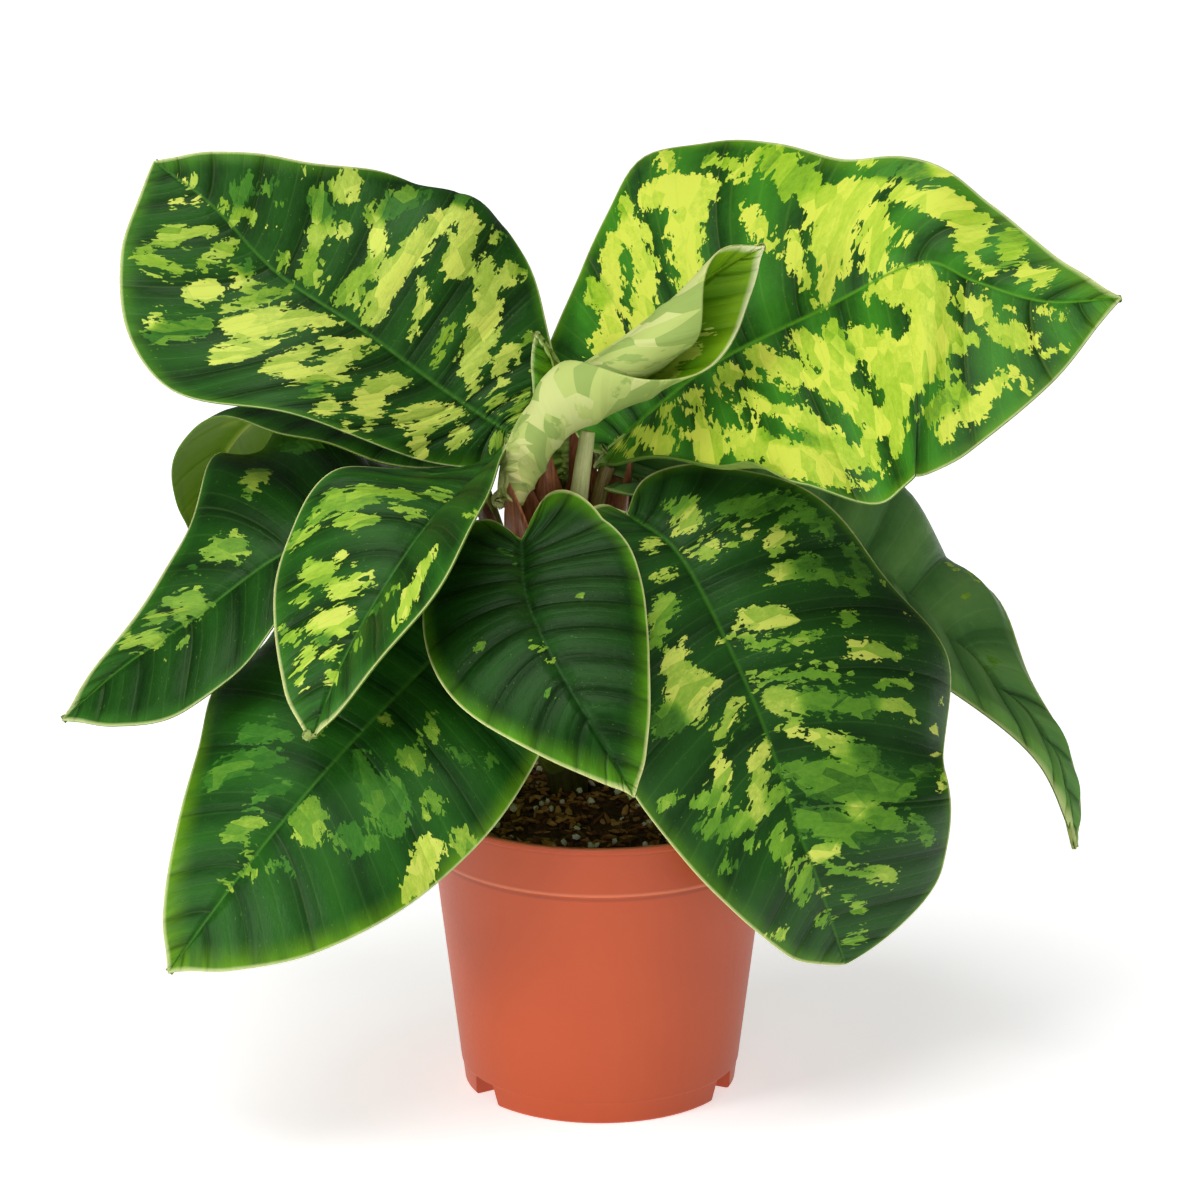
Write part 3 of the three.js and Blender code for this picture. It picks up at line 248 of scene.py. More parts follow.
# The steps between two stations, how far from a patch's edge its field is worked out, and the
# distance over which two strokes' tones blend, the last two in millimetres.
STROKE_STEPS = 5
PATCH_REACH = 6.0
PATCH_BLEND = 0.9
PATCHES = {
    "upper_left": [
        (PALE, (88, 10, 1.5)), (LIME, (79, 15, 2)), (DIM, (77, 50, 4)), (LIME, (77, 10, 2), (76, 25, 3)),
        (DIM, (73.5, 70, 2.5)), (DIM, (71, 60, 1.5)), (PALE, (71, 33, 1.2)), (LIME, (68.5, 10, 3)),
        (LIME, (64, 12, 5), (65.5, 35, 3)), (PALE, (65.5, 35, 3), (65.5, 52, 5)),
        (DIM, (65.5, 56, 5), (66.5, 75, 5)), (PALE, (64.5, 85, 5)), (PALE, (63, 50, 3)),
        (PALE, (69, 90, 1.5)), (LIME, (58, 13, 4.5), (57, 38, 2.5)), (PALE, (57, 38, 2.5), (60, 65, 4)),
        (DIM, (60, 65, 4), (56.5, 80, 6)), (PALE, (53, 8, 4), (54, 30, 6), (52, 55, 5.5), (51, 68, 4)),
        (DIM, (50.5, 80, 3)), (PALE, (48, 90, 2.5)), (PALE, (48, 72, 4), (46.5, 50, 5), (44.5, 58, 3.5)),
        (PALE, (48.5, 32, 3), (45.5, 12, 1.5)), (LIME, (40, 10, 1.2), (42, 30, 1.6)), (PALE, (44, 82, 2.5)),
        (DIM, (43, 88, 2)), (PALE, (42, 68, 5), (37.5, 55, 6), (35, 28, 5), (30, 17, 2.5)),
        (PALE, (39.5, 80, 4)), (LIME, (38.5, 90, 1.5)), (PALE, (31, 60, 2.5), (30, 45, 2.5), (27.5, 40, 2)),
        (LIME, (31.5, 80, 1.8)), (LIME, (26.5, 80, 1.5)), (LIME, (22.5, 25, 2.5)),
        (LIME, (20, 75, 2), (15, 60, 2.5), (12, 50, 2)), (LIME, (21, 95, 1.8)),
        (LIME, (77.5, -62, 4.5), (77.5, -40, 3), (77, -20, 2)),
        (LIME, (74, -86, 4), (72, -72, 3), (71, -62, 1.5)),
        (LIME, (72.5, -45, 3), (74, -28, 3.5), (75, -12, 2)), (DIM, (70.5, -18, 1.5)),
        (PALE, (69, -28, 2.5)), (PALE, (68, -62, 3.5), (68, -50, 5)),
        (LIME, (66, -33, 3), (65.8, -18, 3), (65.3, -6, 1.5)),
        (PALE, (66, -50, 1.5), (65, -35, 2.5), (63.5, -22, 1)),
        (PALE, (61.5, -50, 5), (61.5, -35, 7), (60, -20, 6), (57, -8, 2.5)),
        (DIM, (62, -85, 4), (62.5, -65, 4.5)), (PALE, (64.5, -85, 2.5)),
        (PALE, (56.5, -68, 4), (57, -52, 4), (58, -38, 2)),
        (PALE, (53.5, -24, 2.5), (51.5, -12, 3), (50.3, -4, 2)),
        (PALE, (52.5, -38, 3), (51, -55, 6), (48.5, -58, 3.5)),
        (PALE, (48, -38, 5), (49, -26, 4), (49.5, -14, 2)),
        (PALE, (47, -62, 3), (46.5, -50, 3), (45.5, -42, 3)), (DIM, (43.5, -62, 3)),
        (PALE, (42, -34, 4), (42, -22, 4), (41, -12, 1.5)), (PALE, (38, -75, 3.5)),
        (PALE, (37.5, -52, 6), (39, -40, 2.5)),
        (PALE, (31.5, -52, 3), (32, -38, 4.5), (31, -22, 4), (28.5, -10, 2)), (PALE, (32, -75, 2.5)),
        (PALE, (26.5, -62, 4)), (PALE, (22, -40, 3)), (PALE, (32, -90, 1.8)), (PALE, (20, -65, 2)),
        (LIME, (13, -45, 2.5)), (PALE, (84.5, -40, 1.5)), (PALE, (83, -12, 1.2)),
    ],
    "upper_right": [
        (CREAM, (32, -66, 4), (33, -84, 5), (35.5, -82, 5), (37.5, -68, 3.5), (37, -55, 4.5), (34.5, -45, 6),
         (32, -38, 5)),
        (LIME, (29.5, -85, 4), (30.5, -70, 5)), (CREAM, (30.5, -70, 4), (29, -52, 5)),
        (CREAM, (26, -60, 4)), (LIME, (22, -55, 3.5)), (CREAM, (27, -38, 5)),
        (CREAM, (39.5, -78, 5), (42, -76, 8), (44.5, -72, 8), (43, -55, 7), (42, -40, 5), (41, -30, 3)),
        (LIME, (37, -88, 3)), (PALE, (41.5, -92, 4)), (LIME, (45.5, -88, 3.5)), (PALE, (47.8, -85, 4.5)),
        (CREAM, (49.5, -62, 4), (51, -50, 3), (51.5, -42, 2)),
        (PALE, (53, -58, 2), (53.8, -42, 3.5), (54.5, -25, 2)),
        (LIME, (50, -95, 4), (51.5, -88, 6), (54, -80, 5)),
        (PALE, (53.5, -80, 4), (56, -72, 8), (58.5, -74, 6), (61, -80, 3)),
        (PALE, (57, -60, 8), (58, -45, 8), (58.5, -28, 6), (58, -12, 3)),
        (PALE, (61.5, -60, 5), (63, -42, 6), (63.5, -20, 6)),
        (PALE, (62.5, -74, 4), (65, -72, 5), (67, -72, 7), (69.5, -72, 6), (70.5, -60, 6), (72, -45, 5),
         (74, -30, 4), (76, -25, 2)),
        (DIM, (60, -88, 3), (62.5, -90, 4)), (PALE, (57.5, -97, 2)), (PALE, (63, -99, 3)),
        (PALE, (67, -30, 2.5)), (LIME, (73.5, -75, 5)), (PALE, (77, -60, 3)), (PALE, (80, -60, 3)),
        (PALE, (72.5, -50, 2)), (PALE, (57, -8, 2)),
        (PALE, (36, 16, 3), (38.5, 32, 5), (40.5, 48, 6), (43, 62, 7)),
        (PALE, (42, 11, 4), (45, 28, 6), (48, 46, 6.5), (50.5, 60, 6)),
        (PALE, (47, 8, 4), (50, 24, 6), (53, 40, 7), (55, 54, 7)),
        (PALE, (53, 9, 5), (55.5, 26, 7), (57, 44, 7), (58.5, 62, 9)),
        (PALE, (60, 22, 5), (62.5, 36, 8), (64, 52, 11), (62, 66, 12)),
        (PALE, (64, 5, 5), (68, 12, 10), (71, 26, 12), (70, 42, 15), (67, 58, 14), (64, 66, 11)),
        (PALE, (62, 72, 11), (56, 76, 12), (51, 80, 12), (46, 82, 10), (41, 80, 8), (36, 78, 5)),
        (PALE, (75, 12, 6), (78, 24, 7), (80, 38, 6), (82, 52, 4)),
        (LIME, (66, 70, 7), (69, 60, 7), (73, 48, 7), (75, 40, 4)),
        (LIME, (48, 66, 7), (52, 74, 7), (57, 80, 6)), (LIME, (70, 74, 6), (74, 70, 5)),
        (LIME, (57, 14, 4), (59, 30, 5)), (LIME, (44, 60, 5), (47, 72, 6)),
        (PALE, (31, 22, 3), (35, 48, 5), (38, 70, 5)), (PALE, (25, 35, 2.5), (29, 60, 4), (32, 78, 4)),
        (PALE, (20, 50, 2)), (PALE, (27, 80, 2)), (CREAM, (72, 84, 4.5), (76, 78, 4), (79, 72, 3)),
        (CREAM, (80, 84, 2.5)), (PALE, (84, 12, 2), (86, 30, 2.5)), (PALE, (83, 70, 2), (85, 80, 1.5)),
        (DARK, (61.5, 8, 2.5), (63.5, 18, 4.5), (66.5, 28, 4)), (DARK, (58.5, 42, 2), (60.3, 57, 2.5)),
        (DARK, (51, 38, 2), (52.5, 52, 3.5), (55, 66, 3.5)),
        (DARK, (44, 22, 1.8), (47, 34, 3), (49.5, 44, 2)), (DARK, (44.5, 52, 2.2), (47.5, 66, 2.6)),
        (DARK, (38.5, 24, 2.2), (40.5, 40, 3.2), (42, 54, 2.2)), (DARK, (33, 34, 2), (35, 50, 2.2)),
        (DARK, (38.5, 84, 2), (41.5, 90, 2.5)), (DARK, (52, 86, 1.5), (56, 88, 1.5)),
        (DARK, (58.5, 80, 3.8)), (DARK, (64.5, 76, 2), (68, 69, 2.4), (72, 63, 2)),
        (DARK, (73.5, 50, 2.4), (76, 58, 3.8)),
        (DARK, (73, 22, 2), (76, 32, 2.8)), (DARK, (75, 6, 2), (80, 8, 2.6)),
        (DARK, (79, 22, 2.2), (84, 30, 2.2)), (DARK, (66, 92, 2.5)), (DARK, (74, 88, 2.2)),
    ],
    "mid_left": [
        (LIME, (49.5, 82, 2), (47.5, 72, 6), (47.5, 58, 5), (46.2, 45, 2.5)), (LIME, (45.8, 33, 3.5)),
        (LIME, (43.5, 12, 3)), (DIM, (30, 60, 3.5)), (LIME, (49, 30, 2), (49.8, 18, 2.5), (50.3, 8, 1.2)),
        (LIME, (51.5, 58, 3.5), (53.5, 48, 3.5), (52.5, 38, 2.5)), (LIME, (50.5, 92, 2.2)),
        (LIME, (51.5, 96, 1.5)), (PALE, (58.5, 50, 1.8)), (PALE, (60.5, 40, 1)), (LIME, (60, 66, 5)),
        (PALE, (64.5, 45, 4.5), (64.8, 32, 4), (64.5, 18, 1.5)), (LIME, (63, 78, 2.5)),
        (PALE, (71, 62, 3), (70, 50, 6), (71, 32, 5.5), (71.5, 18, 3)), (DIM, (72.5, 50, 3)),
        (LIME, (69, 86, 3.5)), (PALE, (75.5, 72, 3), (74, 62, 3.5)), (PALE, (76.5, 38, 2), (76.8, 22, 3.5)),
        (PALE, (78, 78, 2)), (PALE, (80.5, 12, 2.5)),
        (PALE, (57.5, -70, 3), (60, -72, 5), (63, -78, 4), (65, -85, 2.5)), (LIME, (65, -45, 2.5)),
        (LIME, (73.5, -40, 2.5)), (LIME, (50, -90, 2)), (DIM, (69, -25, 3)),
    ],
    "low_left": [
        (DIM, (57.5, 62, 4), (57, 50, 5), (57, 38, 3)),
        (DIM, (63.5, 78, 5), (61.5, 65, 6), (60.5, 48, 5), (60, 30, 2.5)),
        (DIM, (66, 38, 3), (64.5, 28, 3.5), (63.5, 18, 3)),
        (LIME, (70.5, 48, 2.5), (70, 35, 4), (69, 20, 2)), (LIME, (73, 10, 2)), (LIME, (77, 12, 2)),
        (LIME, (46.5, 40, 2), (46, 25, 3)), (LIME, (54, 22, 2.5)), (LIME, (43.5, -30, 3), (45, -38, 3)),
        (LIME, (48.5, -6, 2)), (LIME, (48.5, -42, 4.5)),
        (DIM, (54.5, -10, 2.5), (55.5, -25, 4), (55, -42, 7), (55.5, -55, 6), (56, -62, 4)),
        (DIM, (43.5, -60, 3)), (LIME, (49.5, -62, 3.5), (50, -70, 3.5)),
        (LIME, (63.5, -8, 3), (65, -16, 6), (65.5, -28, 5)), (DIM, (61, -50, 5)), (DIM, (70.5, -30, 3)),
        (LIME, (74.5, -10, 2.5)), (CREAM, (56, -95, 5), (53.5, -84, 6)), (LIME, (48.5, -92, 4)),
        (DIM, (41, -75, 2)),
    ],
    "far_left": [
        (LIME, (57, 60, 4), (56, 45, 6), (57.5, 30, 3)), (DIM, (60, 68, 2)),
        (LIME, (65, 70, 3.5), (66.5, 48, 3), (68.5, 25, 4.5)), (LIME, (66, 30, 5)),
        (LIME, (67.5, 75, 3), (69, 60, 4.5), (70.5, 52, 3)), (LIME, (72, 75, 3)), (LIME, (73, 35, 4)),
        (LIME, (45.5, 62, 3.5), (48.5, 58, 3)), (DIM, (37.5, 60, 6)), (DIM, (40, 62, 2.5)),
        (LIME, (70, -30, 1)), (LIME, (73, -40, 0.8)),
    ],
    "far_right": [
        (LIME, (61, -60, 2.5)), (LIME, (62, -75, 2)), (LIME, (63.5, -45, 2)), (DIM, (66, -30, 2)),
        (DIM, (68.5, -40, 2)), (DIM, (70, -25, 2.5)), (DIM, (30, -40, 4), (32, -60, 3)),
        (LIME, (35, 40, 4), (37, 60, 3)), (DIM, (48, 45, 4)), (LIME, (42, -55, 3)), (DIM, (55, 30, 3)),
    ],
    "low_right": [
        (PALE, (26.5, -10, 2.5), (26, -25, 5), (25, -38, 4)), (LIME, (22, -42, 4)), (LIME, (31, -36, 3)),
        (DIM, (28.5, -48, 3.5), (29.5, -58, 4.5), (31.5, -75, 4), (33, -88, 3)),
        (PALE, (32, -6, 2), (32.8, -15, 4.5), (31.5, -25, 3)), (PALE, (35, -28, 1)),
        (PALE, (37, -46, 3), (36, -55, 5), (36.5, -62, 2.5)), (PALE, (33.5, -45, 2.5)),
        (DIM, (34.5, -78, 3.5), (36.5, -85, 4.5)), (DIM, (33.5, -72, 3)),
        (DIM, (40, -85, 4), (42, -84, 4), (43.5, -75, 4.5), (43, -65, 4)), (PALE, (41, -42, 4.5)),
        (DIM, (41, -44, 4), (40.5, -55, 5), (41.5, -62, 4)),
        (PALE, (45.5, -8, 3.5), (46, -18, 5), (46.5, -28, 4.5)),
        (LIME, (47.5, -3, 1.5), (49, -14, 3), (49.8, -28, 3.2), (50, -38, 2.5)), (LIME, (48, -55, 3.5)),
        (PALE, (51.5, -50, 4.5), (52, -60, 3.5), (52, -68, 1.5)), (DIM, (50.5, -80, 3.5)),
        (PALE, (43, -95, 1.5)), (PALE, (47, -90, 1.5)),
        (LIME, (52.5, -3, 2), (54, -18, 3.5), (54.5, -35, 3.5), (55, -43, 2.5)),
        (LIME, (55, -58, 2), (55.3, -72, 3.5)), (PALE, (56, -6, 4), (57, -18, 5.5)),
        (DIM, (57, -20, 5), (58, -35, 5), (58, -52, 5)),
        (PALE, (58, -54, 4), (58, -66, 4), (58.5, -76, 1.5)),
        (PALE, (60.3, -8, 1.5), (61.5, -22, 4), (63, -38, 5)), (DIM, (63, -40, 5), (63.5, -52, 4)),
        (DIM, (64.5, -4, 4), (66, -20, 8), (67, -38, 8), (67, -55, 8), (67.5, -70, 6)), (DIM, (65, -82, 5)),
        (PALE, (66.5, -97, 4)), (DIM, (70, -6, 5), (72, -20, 7), (73, -35, 6)), (PALE, (74, -12, 5)),
        (PALE, (69.5, -42, 5)), (DIM, (69.5, -44, 5), (71.5, -55, 5), (72.5, -62, 4)),
        (DIM, (71.5, -72, 3.5), (74.5, -82, 3.5)),
        (LIME, (75.5, -6, 3), (77.5, -22, 3.5), (78.5, -38, 3.5)), (PALE, (78.5, -40, 3.5), (79.5, -52, 4)),
        (PALE, (79.5, -4, 2.5)), (LIME, (81, -18, 2), (84, -28, 2.5)), (LIME, (91, -30, 3.5)),
        (PALE, (55.5, -92, 1.7)), (PALE, (59, -88, 1.5)), (PALE, (62, -92, 2)), (PALE, (26.5, 20, 3.5)),
        (PALE, (33.5, 30, 2.5), (34.5, 15, 2)), (LIME, (38, 30, 5), (40, 42, 5), (42, 48, 4)),
        (PALE, (44, 30, 2), (46, 40, 6), (49, 40, 8), (51, 42, 8), (50, 28, 4), (51.5, 18, 2)),
        (DIM, (50.5, 58, 6)), (PALE, (55, 10, 3), (55.5, 22, 4), (57, 34, 3.5)), (PALE, (46.5, 3, 1.2)),
        (DIM, (58, 12, 2.5)), (PALE, (58, 38, 3), (60, 46, 4.5), (61, 52, 3)), (LIME, (61, 60, 4.5)),
        (PALE, (61, 4, 2), (62.5, 14, 4), (64.5, 28, 4), (66.5, 38, 3.5)), (LIME, (65.5, 52, 4)),
        (LIME, (66.5, 10, 4)), (LIME, (70.5, 30, 5), (69.5, 18, 3)), (LIME, (68, 50, 2.5)),
        (LIME, (57, 85, 3.5)), (DIM, (63, 72, 5)), (DIM, (66.5, 78, 3)), (LIME, (74, 22, 4), (77, 36, 3.5)),
        (LIME, (74.5, 10, 2.5), (77, 18, 3)), (LIME, (84, 15, 3)), (PALE, (76.5, 88, 2.5)),
    ],
    "front": [
        (LIME, (57, 10, 1.6)), (LIME, (61, 3, 1)), (DIM, (22, 22, 1.2), (22, 30, 1)), (DIM, (28, 12, 1.2)),
        (LIME, (45, -45, 1.2)), (DIM, (66, 30, 0.8)), (LIME, (50, 55, 0.8)),
    ],
    "young": [
        (LIME, (60, 48, 4), (62, 60, 5), (63, 72, 3)), (LIME, (56, 55, 6), (58, 70, 4)),
        (PALE, (66, 66, 2.5), (66.5, 75, 2)), (LIME, (52, 60, 6), (50, 75, 5)), (LIME, (70, 45, 2)),
        (PALE, (40, 50, 7)), (PALE, (32, 35, 7)), (LIME, (45, 20, 5)), (PALE, (28, 70, 6)),
        (LIME, (50, -40, 5)), (PALE, (62, -60, 4)), (LIME, (40, -60, 5)), (LIME, (72, -40, 3)),
        (PALE, (20, 30, 6), (24, 50, 5)), (LIME, (18, -40, 6)), (PALE, (30, -30, 6), (34, -55, 5)),
    ],
    "back_left": [
        (LIME, (30, 35, 4), (32, 55, 4)), (LIME, (45, 30, 5), (47, 50, 3)), (DIM, (60, 40, 4)),
        (PALE, (38, -35, 4), (40, -60, 4)), (LIME, (55, -30, 5), (57, -50, 4)), (DIM, (70, -30, 3)),
        (LIME, (20, -50, 3)), (PALE, (72, 30, 2.5)),
    ],
    "back": [
        (PALE, (30, 15, 3), (33, 40, 5), (35, 60, 4)), (LIME, (45, 12, 4), (48, 35, 5), (50, 55, 3)),
        (PALE, (60, 20, 4), (62, 45, 4)), (LIME, (25, -25, 4), (28, -50, 4)),
        (PALE, (40, -15, 4), (43, -35, 5), (45, -60, 4)), (LIME, (55, -20, 4), (58, -45, 5)),
        (PALE, (70, -20, 3), (72, -45, 2)), (LIME, (75, 25, 2.5)), (LIME, (15, 40, 2.5)),
        (PALE, (52, 80, 2.5)), (LIME, (35, -82, 2)),
    ],
    "spear": [],
}

# The outline is the radius and height up the outside, from the foot to the lip. The notches
# are where they lie, in degrees, and a notch gives their half widths, reach and height.
POT = {
    "outline": [(46.2, 0), (47, 0.8), (47.85, 7.7), (48.2, 8), (57.5, 85), (58.7, 85.6), (59.3, 100.6),
                (60, 100.9), (60, 102.5), (59.5, 103)],
    "wall": 1.5, "height": 103, "mouth": 56, "clear": 108,
    "notches": (-56.5, 63.5, 183.5),
    "notch": {"top": 5.25, "foot": 7.75, "outer": -53.2, "inner": -45.2, "inner_foot": -30.1,
              "height": 7.7, "below": -2},
    "slot": {"size": (4, 6, 14), "radius": 40.2, "height": 5},
}

# The stem, whose leaf scars start above a plain foot.
STEM = {"foot": (-10, 14, 76), "top": (-14, 11, 158), "foot_radius": 6.6, "top_radius": 8.2, "plain": 30,
        "scar_spacing": 9, "scar_height": 0.5}

# Heights and radii of the mix, its gap to the pot, the hole for the stem, and the place round
# the stem that stays free of chips.
SOIL = {"edge": 97, "mound": 4, "peak": (-10, 14), "spread": 900, "lump": 0.55, "gap": 0.3,
        "collar": 59.3, "clear": 0.4, "rings": 80, "hole": (-10.6, 13.5, 106), "hole_radius": 7.9,
        "hole_depth": 60, "free": (-10.9, 13), "free_radius": 9}

# Sizes of the chips, fibres and perlite grains, each from least to most along x, y and z.
CHIP_SIZES = [(1.6, 7.5), (1, 3.4), (0.6, 1.6)]
FIBRE_SIZES = [(4, 13), (0.25, 0.5), (0.25, 0.5)]
GRAIN_SIZES = [(1.6, 3.8), (1.5, 3.4), (1.3, 2.8)]

# Perlite grains at set places, in millimetres from the pot's middle.
GRAINS = [(-20, -4), (-18, -3), (-22, -6), (-13, -4), (-7, 6), (-3, -2), (6, 8), (-30, -32), (-12, -39),
          (-8, -36), (-3, -42), (8, -44), (15, -43)]

# A sheath's foot, the way that it sets out, its tip and its half width. Spread is how much
# broader it is here than that.
SHEATH_SPREAD = 1.3
SHEATHS = {
    "left": {"from": (-23, 5, 148), "lean": (-0.2, -0.6, 1), "tip": (-30, -24, 219), "width": 11,
             "spread": 1.7},
    "front": {"from": (-16, 2, 150), "lean": (-0.25, -0.35, 1), "tip": (-27, -6, 220), "width": 8},
    "middle": {"from": (-10, 3, 152), "lean": (-0.2, -0.2, 1), "tip": (-17, -2, 224), "width": 7},
    "right": {"from": (-5, 8, 154), "lean": (0.1, -0.1, 1), "tip": (-5, 1, 228), "width": 6},
    "back": {"from": (-16, 20, 154), "lean": (-0.1, 0.25, 1), "tip": (-9, 23, 240), "width": 13},
    "back_right": {"from": (-8, 17, 150), "lean": (0.4, 0.35, 1), "tip": (11, 22, 230), "width": 10},
    "low_left": {"from": (-21, 12, 144), "lean": (-0.5, 0.15, 1), "tip": (-44, 10, 212), "width": 9},
    "low_right": {"from": (-6, 9, 140), "lean": (0.5, -0.05, 1), "tip": (11, 8, 224), "width": 8},
}


# Sizes and colours that can be set in the sidebar

def colour_setting(name, description, code):
    """A colour setting whose default is a hex code."""
    return FloatVectorProperty(name=name, description=description, default=srgb(code), subtype="COLOR",
                               min=0, max=1)


class LeafSettings(bpy.types.PropertyGroup):
    """How the blades are laid out, and the colours that they share."""

    rows: IntProperty(name="Rows", description="Steps from a blade's base to its tip", default=170, min=20)
    columns: IntProperty(name="Columns", description="Steps across a blade", default=112, min=12)
    lamina: FloatProperty(name="Lamina", description="Thickness of the thin part of a blade",
                          default=0.6 * MM, unit="LENGTH")
    ridge: FloatProperty(name="Ridge", description="Thickness of a blade at its midrib",
                         default=2.8 * MM, unit="LENGTH")
    quilt: FloatProperty(name="Quilt", description="How high the blade swells between its side veins",
                         default=0.95 * MM, unit="LENGTH")
    groove: FloatProperty(name="Groove", description="How deep the midrib lies in the upper side",
                          default=0.8 * MM, unit="LENGTH")
    # Dark beside the veins and mid between them also paint the quilting's shade and sheen.
    dark: colour_setting("Dark", "The deep green of a blade beside its veins", "0b2806")
    mid: colour_setting("Mid", "The green of a blade between its veins", "1f4f12")
    dim: colour_setting("Dim", "The dullest patches", "3f7420")
    lime: colour_setting("Lime", "The lime patches", "7da32a")
    pale: colour_setting("Pale", "The pale patches", "adc244")
    cream: colour_setting("Cream", "The palest patches", "c4cf58")
    # The margin band is a painted glow of light through the thin blade.
    margin: colour_setting("Margin", "The band inside a blade's margin", "3c7a16")
    rim: colour_setting("Rim", "The thin line round a blade", "c2cc88")


class StalkSettings(bpy.types.PropertyGroup):
    """The colours of the stalks, the stem and the sheaths."""

    green: colour_setting("Green", "The dark streaks of most stalks", "3b4a10")
    green_light: colour_setting("Green Light", "The light streaks of most stalks", "7c8c34")
    brown: colour_setting("Brown", "The dark streaks of the brown stalks", "4a3a14")
    brown_light: colour_setting("Brown Light", "The light streaks of the brown stalks", "8a7a3c")
    cream: colour_setting("Cream", "The dark streaks of the young leaf's stalk", "a9b060")
    cream_light: colour_setting("Cream Light", "The light streaks of the young leaf's stalk", "cdcf96")
    stem: colour_setting("Stem", "The dark streaks of the stem", "2c2806")
    stem_light: colour_setting("Stem Light", "The light streaks of the stem", "4f4a14")
    sheath: colour_setting("Sheath", "The dark streaks of the sheaths", "6a3014")
    sheath_light: colour_setting("Sheath Light", "The light streaks of the sheaths", "b97446")


class MixSettings(bpy.types.PropertyGroup):
    """How the potting mix is strewn, and its colours."""

    chips: IntProperty(name="Chips", description="Number of bark chips", default=1300, min=0)
    fibres: IntProperty(name="Fibres", description="Number of loose fibres", default=260, min=0)
    grains: IntProperty(name="Grains", description="Number of perlite grains", default=60, min=0)
    mix: colour_setting("Mix", "The crumbs of the mix", "3f2512")
    bark: colour_setting("Bark", "The bark chips", "8e5a2a")
    fibre: colour_setting("Fibre", "The loose fibres", "5b3d22")
    perlite: colour_setting("Perlite", "The perlite grains", "f2efe8")


class PotSettings(bpy.types.PropertyGroup):
    """The colours of the pot."""

    plastic: colour_setting("Plastic", "The plastic of the pot", "b8481a")
    plastic_light: colour_setting("Plastic Light", "The lighter clouds in the plastic", "c25020")


class StageSettings(bpy.types.PropertyGroup):
    """Where the camera stands and how strong the light is."""

    distance: FloatProperty(name="Distance", description="From the camera to the plant",
                            default=1.526, unit="LENGTH")
    elevation: FloatProperty(name="Elevation", description="How far the camera looks down",
                             default=math.radians(15.75), subtype="ANGLE")
    height: FloatProperty(name="Height", description="Height of the point that the camera looks at",
                          default=0.1717, unit="LENGTH")
    lens: FloatProperty(name="Lens", description="Focal length in millimetres", default=135)
    brightness: FloatProperty(name="Brightness", description="Scales all the lamps", default=1, min=0)
    floor: FloatVectorProperty(name="Floor", description="The floor", default=(0.9, 0.9, 0.9),
                               subtype="COLOR", min=0, max=1)


# Smooth curves and directions

def along(values, share):
    """Values at even steps, read at shares from 0 to 1 on a smooth curve through them."""
    points = np.asarray(values, float)
    last = len(points) - 1
    place = np.clip(share, 0, 1) * last
    step = np.minimum(place.astype(int), last - 1)
    t = place - step
    run = np.concatenate([[2 * points[0] - points[1]], points, [2 * points[-1] - points[-2]]])
    before, a, b, after = (run[step + k] for k in range(4))
    if points.ndim > 1:
        t = t[..., None]
    bend = 2 * before - 5 * a + 4 * b - after + t * (3 * (a - b) + after - before)
    return a + 0.5 * t * (b - before + t * bend)


def unit(vectors):
    """Vectors drawn to length 1."""
    return vectors / np.linalg.norm(vectors, axis=-1, keepdims=True)


def smooth(value, low, high):
    """A smooth step from 0 at low to 1 at high."""
    share = np.clip((value - low) / (high - low), 0, 1)
    return share * share * (3 - 2 * share)


def crowd(share):
    """Even steps from 0 to 1, drawn a little towards both ends."""
    return 0.5 * share + 0.25 * (1 - np.cos(np.pi * share))


class Midrib:
    """The midrib of a leaf, with a steady frame of directions along it."""

    def __init__(self, leaf):
        self.leaf = leaf
        self.steps = np.linspace(0, 1, 81)
        points = along(leaf["midrib"], self.steps)
        strides = np.linalg.norm(np.diff(points, axis=0), axis=1)
        self.reached = np.concatenate([[0], np.cumsum(strides)])
        self.length = self.reached[-1]

    def direction(self, share, window):
        """The way that the midrib runs, read over a window either side of a place."""
        ahead = along(self.leaf["midrib"], np.minimum(share + window, 1))
        return unit(ahead - along(self.leaf["midrib"], np.maximum(share - window, 0)))

    def frame(self, share):
        """Place, forward, up and side at a share of the length; below 0 runs on backwards."""
        share = np.asarray(share, float)
        t = np.interp(np.clip(share, 0, 1) * self.length, self.reached, self.steps)
        forward = self.direction(t, FRAME_WINDOW)
        up = along(self.leaf["face"], share)
        up = unit(up - (up * forward).sum(-1, keepdims=True) * forward)
        overrun = (np.minimum(share, 0) * self.length)[..., None]
        place = along(self.leaf["midrib"], t) + self.direction(t, 0.01) * overrun
        return place, forward, up, np.cross(forward, up)


def layout(leaf, share, column):
    """Where points lie in a blade laid flat: share of the length, and millimetres across."""
    out = np.abs(column)

    def half(read):
        return np.where(column < 0, read(leaf["left"]), read(leaf["right"]))

    starts = along(VEINS, share)[..., 0]
    ends = along(VEINS, share ** half(lambda side: side["sweep"]))
    meets = ends[..., 1]
    meets = np.where(meets < 0, meets * half(lambda side: side["lobe"]), meets)
    place = starts + (meets - starts) * out**VEIN_SWEEP
    width = half(lambda side: along(side["width"], share))
    return place, np.maximum(ends[..., 2], 0) * np.maximum(width, 1) * out


